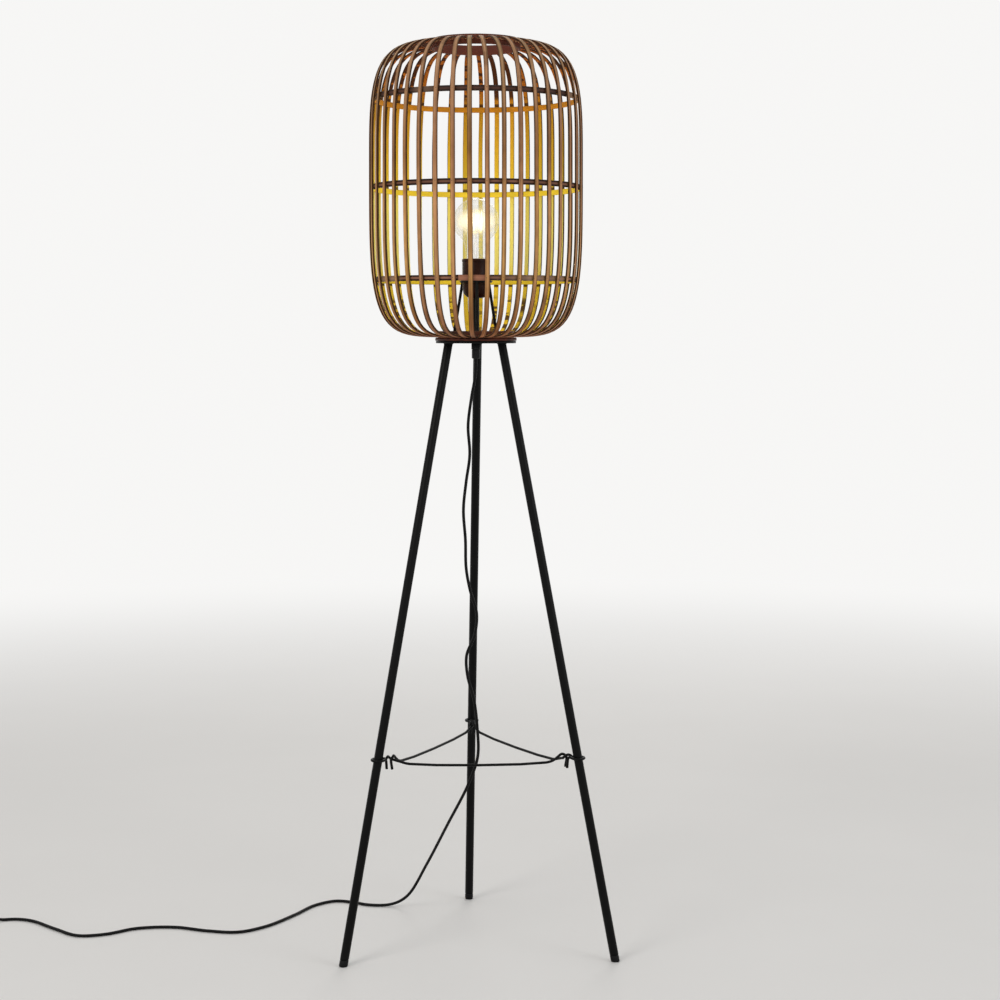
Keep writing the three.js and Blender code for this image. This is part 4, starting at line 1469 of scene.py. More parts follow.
class BraceCorner:
    """One corner of the brace: its neck, its tails and its loop round the leg."""

    LOOP_STEPS = 10
    NECK_STEPS = 12

    def __init__(self, brace: Brace, foot: str) -> None:
        """Works out where the neck lies from the leg's own line.

        Args:
            brace: The brace's sizes.
            foot: The mount that the leg stands on.
        """
        self.brace = brace
        low, high = brace.tripod.line(foot)
        centre = Vector((0.0, AXIS.y))

        def leg_at(height: float) -> Vector:
            """Returns the leg's middle at a height, from the lamp's axis."""
            return low.lerp(high, height / high.z).xy - centre

        rough = leg_at(self.neck_level(0.0))
        leg = leg_at(self.neck_level(rough.y))
        self.out = leg.normalized()
        self.reach = leg.length
        lean = math.atan2((high - low).xy.length, high.z)
        snug = brace.tripod.leg_radius / math.cos(lean) + brace.diameter / 2 + GAP
        self.loop_radius = snug / math.cos(brace.loop_turn / self.LOOP_STEPS)
        self.neck_start = self.reach - self.loop_radius - brace.loop_gap - brace.neck_length
        self.strand_reach = (brace.diameter + brace.neck_gap) / 2

    def neck_level(self, y: float) -> float:
        """Returns the level of the necks at a distance behind the axis."""
        return self.brace.level + self.brace.neck_rise + self.brace.slope * y

    def at(self, reach: float, left: float, height: float) -> Vector:
        """Returns the point at a reach, a distance to the left and a height over the neck."""
        x = self.out.x * reach - self.out.y * left
        y = self.out.y * reach + self.out.x * left
        return Vector((x, y + AXIS.y, self.neck_level(y) + height))

    def side(self, left: float) -> Vector:
        """Returns where a side's straight line starts."""
        return self.at(self.neck_start, left * self.strand_reach, -self.brace.neck_rise)

    def strand(self, share: float, phase: float) -> Vector:
        """Returns a point of one of the two strands that wind round each other."""
        turn = phase - FULL_TURN * share
        reach = self.neck_start + share * self.brace.neck_length
        return self.at(reach, self.strand_reach * math.cos(turn), self.strand_reach * math.sin(turn))

    def strands(self, first: float, last: float, phase: float) -> list[Vector]:
        """Returns the points of a strand between two shares of the neck."""
        steps = math.ceil(self.NECK_STEPS * abs(last - first))
        return [self.strand(first + (last - first) * step / steps, phase) for step in range(steps + 1)]

    def tail(self, shares: Profile, left: float) -> list[Vector]:
        """Returns the points of a cut end, by shares of the neck's length and of the tail's drop."""
        length, aside, fall = self.brace.neck_length, left * self.strand_reach, self.brace.tail_drop
        return [self.at(self.neck_start + along * length, aside, -drop * fall) for along, drop in shares]

    def loop(self) -> list[Vector]:
        """Returns the points of the loop round the leg."""
        points = []
        for step in range(self.LOOP_STEPS + 1):
            turn = self.brace.loop_turn * (2 * step / self.LOOP_STEPS - 1)
            reach = self.reach + self.loop_radius * math.cos(turn)
            points.append(self.at(reach, self.loop_radius * math.sin(turn), 0.0))
        return points


# Shade


@dataclass
class Shade:
    """Forty split rattan strips on three hoops, between a turned base and a top ring."""

    radius: float = 0.1625
    height: float = 0.4527
    widest_share: float = 0.6024
    crown_bend: tuple[float, float] = (5.31, 3.4)
    belly_bend: tuple[float, float] = (6.17, 4.5)
    strip_width: float = 0.007
    strip_thickness: float = 0.003
    strip_rounding: float = 0.0007
    strip_count: int = 40
    breadths: tuple[float, float] = (0.93, 1.04)
    first_strip: float = math.radians(2.7)
    tip_sink: float = 0.004
    sink_reach: float = 0.105
    stations: int = 66
    fine_steps: int = 400
    hoop_stations: int = 132
    hoop_thickness: float = 0.0028
    ring_thickness: float = 0.0045
    base_ledge: float = 0.0045
    lap: float = 0.045
    lap_inner: float = 0.45
    lap_outer: float = 0.5
    hoop_rounding: float = 0.0008
    ring_rounding: float = 0.0009
    base_sides: int = 128
    disc_height: float = 0.0047
    rim_wall: float = 0.0045
    nail_head: Profile = ((0.0, 0.0002), (0.0006, 0.00012), (0.0008, 0.0), (0.0, 0.0))
    nail_sides: int = 10
    nail_stray: float = 0.001
    grain_spread: float = 40.0
    tip_stations: tuple[float, float, float] = (0.0, 0.0012, 0.003)
    tip_widths: tuple[float, float] = (0.62, 0.9)
    lap_angles: dict[str, float] = field(
        default_factory=lambda: {
            "lower_hoop": math.radians(-102.9), "middle_hoop": math.radians(-200),
            "upper_hoop": math.radians(-340),
        }
    )
    sway_shares: tuple[float, ...] = (0.0, 0.28, 0.6, 0.8, 0.94, 1.0)
    sway_reach: float = 0.0008
    sways: dict[int, Point] = field(
        default_factory=lambda: {
            33: (0, 1, -0.8), 34: (-0.2, 0.4, -0.8), 35: (-0.4, -1.8, -1.2), 36: (-0.4, -2, -1.4),
            37: (0.8, -0.4, -1.2), 38: (1.3, 1.1, -1.9), 39: (1.7, 0.5, -2.8), 0: (1.6, 0.8, -2.6),
            1: (0.4, 0.6, -1.4), 2: (0.8, 1, -0.8), 3: (2.8, 1.7, 0.8), 4: (1.2, 0.2, 0), 15: (0, 0, 0),
            16: (0, -0.7, -0.7), 17: (1.8, 1.4, 1.4), 18: (1.2, 1.7, 1.7), 19: (1.8, 2.7, 2.7),
            20: (2, 2, 3), 21: (2.4, 1.9, 1.9), 22: (2.5, 2.5, 2.5), 23: (3.6, 2.7, 2.7),
            24: (2.7, 2.7, 2.7), 25: (1.4, 1.4, 1.4),
        }
    )
    chance: random.Random = field(default_factory=lambda: random.Random(SEED))

    @property
    def top(self) -> float:
        """The level of the shade's top edge."""
        return level("top_ring")[1]

    @property
    def floor(self) -> float:
        """The level of the strips' lowest face."""
        return self.top - self.height

    def strip_angle(self, index: int) -> float:
        """Returns the direction of a strip from the axis."""
        return self.first_strip + FULL_TURN * index / self.strip_count - math.pi / 2

    def half_face(self, sign: int, rise: float, bend: tuple[float, float], end: float) -> list[Vector]:
        """Returns the strips' outer line from the widest level to one end, as radius and level.

        Args:
            sign: 1 upwards and -1 downwards.
            rise: The height of this half.
            bend: The exponents of its curve.
            end: The radius where it ends.

        Returns:
            Points of radius and level.
        """
        last = math.acos((end / self.radius) ** (bend[0] / 2))
        widest = self.floor + self.widest_share * self.height
        points = []
        for step in range(self.fine_steps + 1):
            turn = last * step / self.fine_steps
            across = math.cos(turn) ** (2 / bend[0])
            along = math.sin(turn) ** (2 / bend[1])
            points.append(Vector((across * self.radius, widest + sign * along * rise)))
        return points

    def outer_line(self) -> list[Vector]:
        """Returns the strips' outer line from the base to the top ring."""
        low = self.widest_share * self.height
        rim = radius_of("shade_base") - self.base_ledge
        belly = self.half_face(-1, low, self.belly_bend, rim + GAP)
        crown = self.half_face(1, self.height - low, self.crown_bend, radius_of("top_ring") + GAP)
        return [*reversed(belly), *crown[1:]]

    def strip_bar(self, length: float) -> Bar:
        """Returns the straight strip before it is bent."""
        tip, between = self.tip_stations, length - 2 * self.tip_stations[-1]
        middle = [tip[-1] + between * step / self.stations for step in range(1, self.stations)]
        stations = (*tip, *middle, *(length - place for place in reversed(tip)))
        return Bar(self.strip_thickness, self.strip_width, self.strip_rounding, stations, self.tip_widths)

    def strips(self) -> list[Piece]:
        """Bends forty copies of the strip to the shade's line."""
        line = self.outer_line()
        reached = [0.0]
        for before, after in zip(line, line[1:]):
            reached.append(reached[-1] + (after - before).length)
        bar = self.strip_bar(reached[-1])
        model = bar.upright("strip_model")
        pieces = []
        for index in range(self.strip_count):
            name = f"strip_{index + 1:02d}"
            strip = copied(model, name)
            bar.mark(strip, self.chance.random(), self.chance.uniform(0.0, self.grain_spread))
            laid(strip, self.strip_place(index, line, reached))
            pieces.append(handed_in(strip, STRIP_RATTAN, f"rib_{index + 1:02d}"))
        bpy.data.objects.remove(model)
        return pieces

    def sway(self, index: int) -> Callable[[float], float]:
        """Returns how far a strip strays sideways at a share of its length.

        Args:
            index: The strip's number.

        Returns:
            A function of the share along the strip, which gives metres.
        """
        stray = tuple(self.chance.uniform(-self.sway_reach, self.sway_reach) for _ in range(3))
        belly, middle, crown = mm([self.sways[index]])[0] if index in self.sways else stray
        values = (belly / 2, belly, middle, middle / 3, crown, crown)

        def stray_at(share: float) -> float:
            """Returns the stray at one place."""
            for low, high, first, last in zip(self.sway_shares, self.sway_shares[1:], values, values[1:]):
                if share <= high:
                    return first + (last - first) * eased((share - low) / (high - low))
            return values[-1]

        return stray_at

    def strip_place(
        self, index: int, line: list[Vector], reached: list[float]
    ) -> Callable[[float, float, float], Vector]:
        """Returns where a strip's points go, with the small unevenness of bent rattan.

        Args:
            index: The strip's number.
            line: The outer line, as radius and level.
            reached: How far along the strip each point of the line lies.

        Returns:
            A function of the distance inwards, sideways and along.
        """
        angle = self.strip_angle(index)
        sway = self.sway(index)
        breadth = self.chance.uniform(*self.breadths)
        last = len(line) - 1
        facing = Vector((math.cos(angle), math.sin(angle), 0.0))
        aside = Vector((-facing.y, facing.x, 0.0))

        def place(inwards: float, sideways: float, along: float) -> Vector:
            """Bends one point of the straight strip.

            Args:
                inwards: Its distance from the bar's middle face.
                sideways: Its distance across the bar.
                along: Its distance along the bar.

            Returns:
                The place.
            """
            low = min(max(bisect.bisect_right(reached, along) - 1, 0), last - 1)
            share = (along - reached[low]) / (reached[low + 1] - reached[low])
            radius, height = line[low].lerp(line[low + 1], share)
            slope = (line[min(low + 3, last)] - line[max(low - 2, 0)]).normalized()
            depth = inwards + self.strip_thickness / 2
            radius -= depth * slope.y
            height += depth * slope.x
            height -= self.tip_sink * eased(1 - (reached[-1] - along) / self.sink_reach)
            spot = radius * facing + (breadth * sideways + sway(along / reached[-1])) * aside
            return Vector((spot.x, spot.y + AXIS.y, height))

        return place

    def band(
        self, name: str, node: str, lap: float, angle: float, finish: Finish, rounding: float
    ) -> Piece:
        """Bends a flat band into a ring whose ends are lapped.

        Args:
            name: The piece's name.
            node: The CAD ring that it stands for.
            lap: How far its ends overlap.
            angle: The direction of its outer end from the axis.
            finish: Its finish.
            rounding: The rounding of its edges.

        Returns:
            The band.
        """
        low, high = level(node)
        outer = radius_of(node)
        thickness = self.hoop_thickness if lap else self.ring_thickness
        length = FULL_TURN * outer + lap
        spaced = (length * step / self.hoop_stations for step in range(1, self.hoop_stations + 1))
        end = (0.0, rounding, 2 * rounding) if lap else (0.0,)
        bar = Bar(thickness, high - low, rounding, (*end, *spaced), (0.6, 0.9) if lap else ())
        piece = bar.upright(name)
        bar.mark(piece, self.chance.random(), self.chance.uniform(0.0, self.grain_spread))

        def place(inwards: float, sideways: float, along: float) -> Vector:
            """Bends one point of the straight band, thinned where its ends lap.

            Args:
                inwards: Its distance from the bar's middle face.
                sideways: Its distance across the bar.
                along: Its distance along the bar.

            Returns:
                The place.
            """
            depth = inwards / thickness + 0.5
            inner, outer_cut = 1.0, 0.0
            if lap and along < 2 * lap:
                inner = self.lap_inner + (1 - self.lap_inner) * max(0.0, (along - lap) / lap)
            if lap and along > length - 2 * lap:
                outer_cut = self.lap_outer * min(1.0, (along - length + 2 * lap) / lap)
            share = outer_cut + (inner - outer_cut) * depth
            turn = angle + along / outer
            return AXIS.around(outer - share * thickness, turn, (low + high) / 2 + sideways)

        laid(piece, place)
        return handed_in(piece, finish, node)

    def nails(self) -> Piece:
        """Drives a small nail through each strip into each hoop."""
        line = self.outer_line()
        spots = []
        for node in self.lap_angles:
            low, high = level(node)
            middle = (low + high) / 2
            near = min(line, key=lambda point: abs(point.y - middle))
            spots.append((near.x, middle))
        head = revolved("nail_model", self.nail_head, self.nail_sides, (0, 0, 0))
        nails = []
        for radius, height in spots:
            for index in range(self.strip_count):
                angle = self.strip_angle(index)
                nail = copied(head, "nail")
                rise = height + self.chance.uniform(-self.nail_stray, self.nail_stray)
                turn = Matrix.Rotation(angle, 4, "Z") @ Matrix.Rotation(math.pi / 2, 4, "Y")
                nails.append(turned_to(nail, Matrix.Translation(AXIS.around(radius, angle, rise)) @ turn))
        bpy.data.objects.remove(head)
        return handed_in(joined("strip_nails", nails), NAIL_STEEL)

    def base(self) -> Piece:
        """Turns the wooden base: a moulded disc with an upstanding rim."""
        low, rim_top = level("shade_base")
        radius, hole = radius_of("shade_base"), radius_of("stem_tube") + GAP
        top = low + self.disc_height
        rim, wall = radius - self.base_ledge, self.rim_wall
        profile = [
            (hole, low),
            *beside(radius, low, (-0.8, 0), (0, 0.6), (0, 2.8), (-0.5, 3.1), (-0.1, 3.5)),
            *beside(radius, top, (-0.6, -0.3), (-1.4, 0)),
            (rim, top),
            *beside(rim, rim_top, (0, -1.2), (-1, 0)),
            *beside(rim - wall, rim_top, (0.8, 0), (0, -1)),
            *beside(rim - wall, top, (0, 0.8), (-1, 0)),
            *beside(hole, top, (14, 0), (13, -0.6), (0, -0.6)),
            (hole, low),
        ]
        return turned("turned_base", profile, self.base_sides, WOOD, "shade_base")

    def build(self) -> list[Piece]:
        """Builds the strips, the hoops, the ring, the nails and the base."""
        pieces = self.strips()
        for node, angle in self.lap_angles.items():
            finish = UPPER_HOOP_RATTAN if node == "upper_hoop" else HOOP_RATTAN
            name = node.replace("hoop", "band")
            pieces.append(self.band(name, node, self.lap, angle, finish, self.hoop_rounding))
        pieces.append(self.band("top_band", "top_ring", 0.0, 0.0, RING_RATTAN, self.ring_rounding))
        return [*pieces, self.nails(), self.base()]


# Light fitting


@dataclass
class Fitting:
    """The stem, the gland, the lampholder and the stay that carries it."""

    sides: int = 72
    arm_angles: tuple[float, ...] = (math.radians(30), math.radians(150), math.radians(270))
    arm_diameter: float = 0.0045
    arm_top_reach: float = 0.023
    arm_foot_reach: float = 0.038
    ring_height: float = 0.0025
    tube_bore: float = 0.0035
    tube_edge: float = 0.0004
    thread_radius: float = 0.0053
    gland_mouth: float = 0.0026
    seat_rise: float = 0.0265
    dome_height: float = 0.016
    dome_bulge: float = 0.0122
    shell_radius: float = 0.0205
    flange_radius: float = 0.0235
    skirt_radius: float = 0.0209
    socket_radius: float = 0.0136
    stay_inner: float = 0.0208
    stay_outer: float = 0.0250
    stay_edge: float = 0.0005
    heel_rise: float = 0.0022
    knee_share: float = 0.06
    knee_rise: float = 0.001
    foot_sides: int = 32
    pad: Profile = ((0.0, 0.0), (0.0055, 0.0), (0.0055, 0.0014), (0.0050, 0.0020), (0.0024, 0.0020))
    rivet: Profile = ((0.0024, 0.0028), (0.0018, 0.0034), (0.0, 0.0037), (0.0, 0.0))

    def stem(self) -> Piece:
        """Turns the stem tube."""
        low, high = level("stem_tube")
        profile = collar(self.tube_bore, radius_of("stem_tube"), low, high, self.tube_edge)
        return turned("stem", profile, self.sides, STEEL, "stem_tube")

    def gland(self) -> Piece:
        """Turns the cord gland under the plate: a collar, a waist and a rounded mouth."""
        low, high = level("cord_gland")
        radius, mouth, thread = radius_of("cord_gland"), self.gland_mouth, self.thread_radius
        waist = ((-2.2, 0), (-1.2, 0.4), (-0.6, 1.4), (-0.6, 12.8), (-1.2, 13.2), (-1.2, 13.8), (0, 14.2))
        profile = [
            *beside(mouth, low, (1.4, 0)),
            *beside(radius, low, *waist),
            *beside(radius, high, (0, -0.8), (-0.6, 0)),
            *beside(thread, high, (0, 0), (0, -10.3)),
            *beside(mouth, high, (0, -10.3)),
            *beside(mouth, low, (0, 1.4), (0.4, 0.5), (1.4, 0)),
        ]
        return turned("gland", profile, self.sides, GLAND_PLASTIC, "cord_gland")

    def holder(self) -> Piece:
        """Turns the lampholder: a domed cap, a flange and a skirt with a beaded rim."""
        low, high = level("lampholder")
        seat, thread = low + self.seat_rise, self.thread_radius
        dome = []
        for step in range(11):
            turn = math.pi / 2 * step / 10
            reach = self.shell_radius - self.dome_bulge * (1 - math.sin(turn))
            dome.append((reach, low + self.dome_height * (1 - math.cos(turn))))
        bead = ((0, -6.2), (-0.3, -5.8), (-0.3, -5), (0.5, -4.4), (0.5, -1), (-0.3, 0))
        profile = [
            *beside(0.0, low, (0, 7.3)),
            *beside(thread, low, (0, 7.3), (0, 0)),
            *dome,
            *beside(self.shell_radius, low, (0, 19.8), (-0.5, 20.2), (-0.5, 20.8), (0, 21.2)),
            (self.shell_radius, seat),
            *beside(self.flange_radius, seat, (-0.6, 0), (0, 0.6), (0, 2.9), (-0.6, 3.5)),
            *beside(self.skirt_radius, seat, (0, 3.5)),
            *beside(self.skirt_radius, high, *bead),
            *beside(self.socket_radius, high, (1, 0), (0, -1)),
            *beside(self.socket_radius, seat, (0, 2.5)),
            *beside(0.0, seat, (0, 2.5)),
        ]
        return turned("lampholder_body", profile, self.sides, PHENOLIC, "lampholder")

    def stay(self) -> Piece:
        """Makes the stay: a ring under the flange on three bent arms with riveted feet."""
        low, high = level("holder_stay")
        floor = high - self.ring_height
        ring = collar(self.stay_inner, self.stay_outer, floor, high, self.stay_edge)
        pieces = [revolved("stay_ring", ring, self.sides, AXIS.at(0.0))]
        for angle in self.arm_angles:
            head = AXIS.around(self.arm_top_reach, angle, floor + self.ring_height / 2)
            heel = AXIS.around(self.arm_foot_reach, angle, low + self.heel_rise)
            knee = heel.lerp(head, self.knee_share) + Vector((0, 0, self.knee_rise))
            line = catmull([heel, knee, heel.lerp(head, 0.5), head], 5)
            pieces.append(solid_wire("stay_arm", line, self.arm_diameter))
            foot = AXIS.around(self.arm_foot_reach, angle, low)
            pieces.append(revolved("stay_foot", [*self.pad, *self.rivet], self.foot_sides, tuple(foot)))
        return handed_in(joined("stay", pieces), STEEL, "holder_stay")

    def build(self) -> list[Piece]:
        """Builds the fitting."""
        return [self.stem(), self.gland(), self.holder(), self.stay()]


@dataclass
class Bulb:
    """A clear globe with a screw cap, a glass mount and upright filament strands."""

    sides: int = 96
    glass_radius: float = 0.035
    neck_radius: float = 0.0155
    wall: float = 0.0007
    centre_rise: float = 0.0575
    neck_rise: float = 0.0006
    shoulder: float = math.radians(-50)
    cap_radius: float = 0.0132
    strands: int = 5
    strand_low: float = 0.040
    strand_high: float = 0.074
    strand_reach: float = 0.0085
    strand_diameter: float = 0.0006
    strand_bulge: float = 0.12
    strand_lean: float = 0.35
    hook_turn: float = 0.18
    hook_bend: float = 0.003
    hook_diameter: float = 0.0004
    rod_radius: float = 0.0012
    rod_drop: float = 0.001
    curve_steps: int = 9
    ball_steps: int = 28
    ridges: int = 5
    ridge_pitch: float = 0.0036
    first_ridge: float = 0.0045
    mount_sides: int = 48

    @property
    def base(self) -> float:
        """The level of the lampholder's top."""
        return level("lampholder")[1]

    def glass_line(self, inset: float) -> list[tuple[float, float]]:
        """Returns the glass's profile from its neck to its top.

        Args:
            inset: How far it is moved inwards.

        Returns:
            Points of radius and level.
        """
        ball, neck = self.glass_radius - inset, self.neck_radius - inset
        centre = self.base + self.centre_rise
        shoulder = Vector((ball * math.cos(self.shoulder), centre + ball * math.sin(self.shoulder)))
        drop = (shoulder.x - neck) / math.tan(-self.shoulder)
        start, bend = Vector((neck, self.base + self.neck_rise)), Vector((neck, shoulder.y - drop))
        lower = []
        for step in range(self.curve_steps + 1):
            share = step / self.curve_steps
            point = (1 - share) ** 2 * start + 2 * share * (1 - share) * bend + share**2 * shoulder
            lower.append((point.x, point.y))
        shares = [step / self.ball_steps for step in range(1, self.ball_steps + 1)]
        turns = [self.shoulder + (math.pi / 2 - self.shoulder) * share for share in shares]
        upper = [(max(ball * math.cos(turn), 0.0), centre + ball * math.sin(turn)) for turn in turns]
        upper[-1] = (0.0, upper[-1][1])
        return [*lower, *upper]

    def glass(self) -> None:
        """Turns the glass shell, open at its neck."""
        outside, inside = self.glass_line(0.0), self.glass_line(self.wall)
        profile = [*outside, *reversed(inside), outside[0]]
        turned("bulb_globe", profile, self.sides, GLASS, "bulb", ride=Ride.BULB)

    def cap(self) -> None:
        """Turns the screw cap with its rolled thread and its contact."""
        low, top = level("bulb")[0], self.base + self.neck_rise
        radius = self.cap_radius
        thread = []
        for ridge in range(self.ridges):
            foot = low + self.first_ridge + self.ridge_pitch * ridge
            thread += beside(radius, foot, (-1.1, 0), (-0.2, 1.2), (-0.2, 2.2))
        profile = [
            *beside(0.0, low, (0, 0), (3.5, 0), (4.5, 0.8), (9, 1.8)),
            *beside(radius, low, (-1.4, 3.2)),
            *thread,
            *beside(radius, top, (-0.8, -5.8), (-0.8, -3), (0, -1.4)),
            *beside(self.neck_radius - self.wall, top, (-0.2, -0.2)),
            *beside(0.0, top, (0, -0.2)),
        ]
        turned("bulb_cap", profile, self.sides, BRASS, ride=Ride.BULB)

    def mount(self) -> None:
        """Turns the glass mount: a flared tube, a pinch and a thin rod with a button."""
        low = self.base + self.neck_rise
        top = self.base + self.strand_high - self.rod_drop
        flare = ((0, 0), (12.5, 0), (11.8, 2), (7, 7), (4.5, 13), (4.2, 20), (2.6, 24), (1.3, 26.5))
        profile = [
            *beside(0.0, low, *flare),
            *beside(self.rod_radius, top, (0, -4)),
            *beside(0.0, top, (2.2, -3), (2.4, -1.5), (1.4, 0), (0, 0.3)),
        ]
        turned("bulb_mount", profile, self.mount_sides, MOUNT_GLASS, ride=Ride.BULB)

    def filament(self) -> None:
        """Strings the filament up and down between its upper and lower hooks."""
        count = 2 * self.strands
        points, hooks = [], []
        for index in range(count):
            angle = FULL_TURN * index / count
            ends = (self.strand_low, self.strand_high) if index % 2 else (self.strand_high, self.strand_low)
            for share, rise in ((0.0, ends[0]), (0.5, sum(ends) / 2), (1.0, ends[1])):
                spread = 1.0 + self.strand_bulge * math.sin(math.pi * share)
                turn = angle + self.strand_lean * share * FULL_TURN / count
                points.append(AXIS.around(self.strand_reach * spread, turn, self.base + rise))
        strands = solid_wire("filament_strands", points, self.strand_diameter, resolution=1)
        handed_in(strands, FILAMENT, ride=Ride.BULB)
        for index in range(count):
            angle = FULL_TURN * (index + self.hook_turn) / count
            upper = index % 2 == 1
            rise = self.base + (self.strand_high if upper else self.strand_low)
            bend = -self.hook_bend if upper else self.hook_bend
            inner = AXIS.around(self.rod_radius, angle, rise + bend)
            outer = AXIS.around(self.strand_reach, angle, rise)
            line = [inner, inner.lerp(outer, 0.6), outer]
            hooks.append(solid_wire("hook", line, self.hook_diameter, resolution=1))
        handed_in(joined("filament_hooks", hooks), NICKEL, ride=Ride.BULB)

    def build(self) -> None:
        """Builds the bulb."""
        self.glass()
        self.cap()
        self.mount()
        self.filament()


# Foot switch and plug


@dataclass
class FootSwitch:
    """The foot switch: a rounded casing in two halves, a button and a tapered sleeve at each end."""

    cord: PowerCord
    length: float = 0.076
    width: float = 0.036
    seam_depth: float = 0.0006
    sleeve_length: float = 0.026
    sleeve_root: float = 0.010
    sides: int = 96
    well_gap: float = 0.0004
    well_depth: float = 0.0033
    well_top: float = 0.018
    well_flare: tuple[float, float] = (0.002, 0.003)
    seam_share: float = 0.52
    tip_share: float = 1.12
    ring_step: float = 0.0005
    ring_share: float = 0.9
    ring_zone: tuple[float, float] = (0.15, 0.85)
    ring_every: int = 6
    ring_steps: int = 2

    def casing(self) -> Piece:
        """Turns a round casing, draws it out to its length and bores the button's well."""
        half, height = self.width / 2, level("foot_switch")[1] - level("foot_switch")[0]
        seam, groove = self.seam_share * height, half - self.seam_depth
        profile = [
            (0.0, 0.0),
            *beside(half, 0.0, (-3.5, 0), (-1.6, 0.4), (-0.5, 1.4), (0, 3)),
            *beside(half, seam, (0, -0.4)),
            *beside(groove, seam, (0, -0.2), (0, 0.2)),
            *beside(half, seam, (0, 0.4)),
            *beside(half, height, (0, -5), (-0.6, -2.8), (-1.9, -1), (-4, 0)),
            (0.0, height),
        ]
        centre = middle_of("foot_switch", 0.0)
        piece = revolved("switch_casing", profile, self.sides, centre)
        stretch = (self.length - self.width) / 2
        with editing(piece):
            for side in (1, -1):
                select_where(piece, "VERT", lambda co, side=side: side * (co.x - centre[0]) > 10 * MERGE)
                bpy.ops.transform.translate(value=(side * stretch, 0.0, 0.0))
        bore = radius_of("switch_button") + self.well_gap
        floor = level("switch_button")[0] - self.well_depth
        wide, above = bore + self.well_flare[0], self.well_top + self.well_flare[1]
        profile = [(0.0, floor), (bore, floor), (bore, self.well_top), (wide, above), (0.0, above)]
        well = revolved("well", profile, self.sides, centre)
        return closed_up(bored(piece, well))

    def button(self) -> Piece:
        """Turns the button, with a raised edge round a dished top."""
        low, high = level("switch_button")
        radius, top = radius_of("switch_button"), high - low
        profile = [
            (0.0, 0.0),
            (radius, 0.0),
            *beside(radius, top, (0, -1.8), (-0.5, -0.6), (-1.6, 0), (-2.8, 0), (-3.6, -0.6)),
            *beside(0.5 * radius, top, (0, -0.9)),
            *beside(0.0, top, (0, -1)),
        ]
        return revolved("switch_push_button", profile, self.sides, middle_of("switch_button", low))

    def sleeve(self, name: str, line: Sequence[Vector], from_start: bool) -> Piece:
        """Moulds a tapered sleeve over the end of a cord, with shallow rings.

        Args:
            name: The piece's name.
            line: The cord's centreline.
            from_start: Whether the sleeve sits on the cord's start rather than its end.

        Returns:
            The sleeve.
        """
        ordered = list(line) if from_start else list(reversed(line))
        nozzle = self.cord.switch_reach - self.length / 2
        away = (ordered[0] - ordered[1]).normalized()
        path, reached = [ordered[0] + away * nozzle], [0.0]
        for point in ordered:
            reached.append(reached[-1] + (point - path[-1]).length)
            path.append(point)
            if reached[-1] > self.sleeve_length:
                break
        fine, radii = [], []
        tip = self.tip_share * self.cord.diameter / self.sleeve_root
        low, high = self.ring_zone
        for step in range(int(self.sleeve_length / self.ring_step) + 1):
            along = step * self.ring_step
            index = max(i for i, value in enumerate(reached[:-1]) if value <= along)
            share = (along - reached[index]) / max(reached[index + 1] - reached[index], MERGE)
            fine.append(path[index].lerp(path[index + 1], share))
            taper = 1 - along / self.sleeve_length
            ringed = low < taper < high and step % self.ring_every < self.ring_steps
            radii.append((tip + (1 - tip) * taper) * (self.ring_share if ringed else 1.0))
        return solid_wire(name, fine, self.sleeve_root, radii=radii, resolution=7)

    def build(self) -> tuple[list[Piece], Piece]:
        """Builds the switch and returns the main cord's pieces and the sleeve on the spare cord."""
        casing = handed_in(self.casing(), PLASTIC, "foot_switch")
        button = handed_in(self.button(), PLASTIC, "switch_button", ride=Ride.BUTTON)
        near = self.sleeve("switch_inlet_sleeve", self.cord.main_line(), False)
        far = self.sleeve("switch_outlet_sleeve", self.cord.coil_line(), True)
        for piece in (near, far):
            handed_in(piece, PLASTIC)
        return [casing, button, near], far


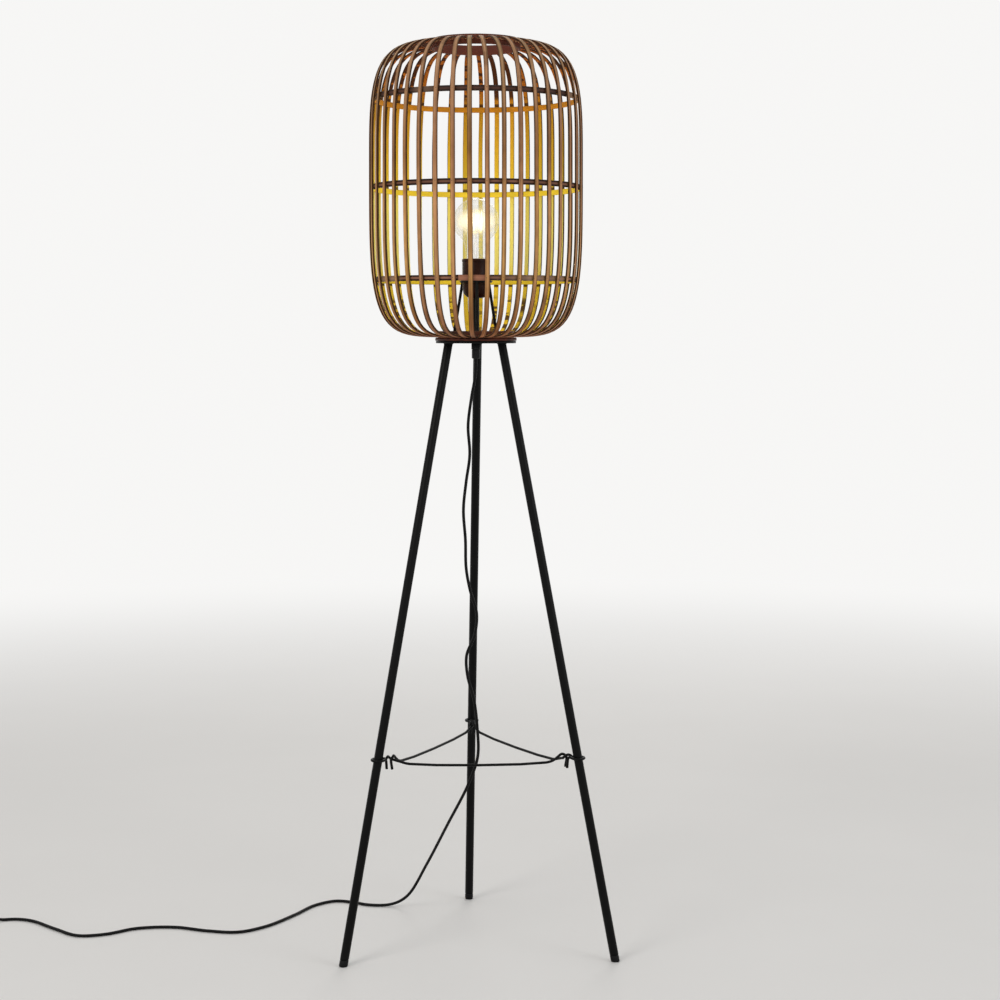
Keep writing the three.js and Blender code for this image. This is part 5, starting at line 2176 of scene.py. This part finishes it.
@dataclass
class Plug:
    """The two-pin plug, lying flat: a body that narrows to its cord, and two sleeved pins."""

    cord: PowerCord
    switch: FootSwitch
    length: float = 0.036
    width: float = 0.0353
    nose_width: float = 0.026
    tail_width: float = 0.013
    thickness: float = 0.0137
    taper: float = 0.014
    cheek: tuple[float, float] = (0.45, 0.62)
    pin_radius: float = 0.002
    pin_length: float = 0.019
    pin_spacing: float = 0.0186
    rounding: float = 0.0026
    grooves: int = 4
    groove_radius: float = 0.0011
    groove_pitch: float = 0.0026
    groove_reach: float = 0.02
    first_groove: float = 0.0016
    groove_off: float = 0.0005
    groove_level: float = 0.0068
    pin_sleeve: float = 0.0002
    sleeve_reach: float = 0.010

    def body(self, start: Vector) -> Piece:
        """Extrudes the plug's outline, rounds its edges and cuts the grip's grooves.

        Args:
            start: Where the cord meets the plug.

        Returns:
            The body.
        """
        shoulder = self.taper + (self.length - self.taper) / 2
        half = [
            (0.0, self.tail_width / 2), (-self.cheek[0] * self.taper, self.cheek[1] * self.width / 2),
            (-self.taper, self.width / 2), (-shoulder, self.width / 2),
            (-self.length, self.nose_width / 2),
        ]
        outline = [*half, *((x, -y) for x, y in reversed(half))]
        circle = {"vertices": len(outline), "radius": self.width / 2, "fill_type": "NGON"}
        piece = added("plug_body", bpy.ops.mesh.primitive_circle_add, **circle)
        for vertex, (x, y) in zip(piece.data.vertices, outline):
            vertex.co = (start.x + x, start.y + y, 0.0)
        with editing(piece):
            bpy.ops.mesh.extrude_region_move(TRANSFORM_OT_translate={"value": (0.0, 0.0, self.thickness)})
            bpy.ops.mesh.select_all(action="SELECT")
            bpy.ops.mesh.normals_make_consistent(inside=False)
        limit = {"limit_method": "ANGLE", "angle_limit": 0.35}
        with_modifier(piece, "BEVEL", width=self.rounding, segments=5, **limit)
        radius, reach = self.groove_radius, self.groove_reach
        profile = [(0.0, -reach), (radius, -reach), (radius, reach), (0.0, reach)]
        for side in (1, -1):
            for step in range(self.grooves):
                groove = revolved("groove", profile, 16, (0, 0, 0))
                x = start.x - self.taper - self.first_groove - self.groove_pitch * step
                y = start.y + side * (self.width / 2 + self.groove_off)
                bored(piece, turned_to(groove, Matrix.Translation((x, y, self.groove_level))))
        return closed_up(piece)

    def pins(self, start: Vector) -> tuple[Piece, Piece]:
        """Turns the pins: an insulating sleeve on each and its bare rounded tip.

        Args:
            start: Where the cord meets the plug.

        Returns:
            Both sleeves as one piece, and both tips as another.
        """
        radius, length, end = self.pin_radius, self.pin_length, self.sleeve_reach
        bare = radius - self.pin_sleeve
        tapered = beside(radius, end, (0, 0), (-0.2, 0.4))
        sleeve_profile = [(0.0, 0.0), (radius, 0.0), *tapered, (0.0, tapered[-1][1])]
        rounded = beside(radius, length, (-0.2, -1.6), (-0.6, -0.6), (-1.3, 0))
        tip_profile = [(0.0, 0.0), (bare, 0.0), *rounded, (0.0, length)]
        sleeves, tips = [], []
        lying = Matrix.Rotation(-math.pi / 2, 4, "Y")
        for side in (1, -1):
            place = (start.x - self.length, start.y + side * self.pin_spacing / 2, self.thickness / 2)
            for profile, pieces in ((sleeve_profile, sleeves), (tip_profile, tips)):
                pin = revolved("pin", profile, 32, (0, 0, 0))
                pieces.append(turned_to(pin, Matrix.Translation(place) @ lying))
        return joined("plug_pin_sleeves", sleeves), joined("plug_pins", tips)

    def build(self) -> list[Piece]:
        """Builds the plug and returns the pieces that are on the cord."""
        line = self.cord.coil_line()
        start = line[-1] - Vector((GAP, 0.0, 0.0))
        body = handed_in(self.body(start), PLASTIC, "plug")
        sleeves, tips = self.pins(start)
        handed_in(sleeves, PLASTIC)
        handed_in(tips, PIN_NICKEL)
        sleeve = self.switch.sleeve("plug_tail_sleeve", line, False)
        tail = handed_in(sleeve, PLASTIC)
        tie = handed_in(self.cord.tie(), TIE_PLASTIC)
        return [body, sleeves, tips, tail, tie]


def main() -> None:
    """Builds the lamp piece by piece."""
    studio = Studio()
    studio.build()
    cord = PowerCord()
    main_cord, spare_cord = cord.build()
    tripod = Tripod()
    tripod.build()
    Brace(tripod).build()
    around_bulb = [*Shade().build(), *Fitting().build()]
    bulb = Bulb()
    bulb.build()
    studio.lamp_light(bulb.base + bulb.centre_rise, around_bulb)
    switch = FootSwitch(cord)
    switch_pieces, outlet_sleeve = switch.build()
    plug_pieces = Plug(cord, switch).build()
    cord.declare(main_cord, spare_cord, switch_pieces)


if __name__ == "__main__":
    logging.basicConfig(level=logging.INFO)
    main()
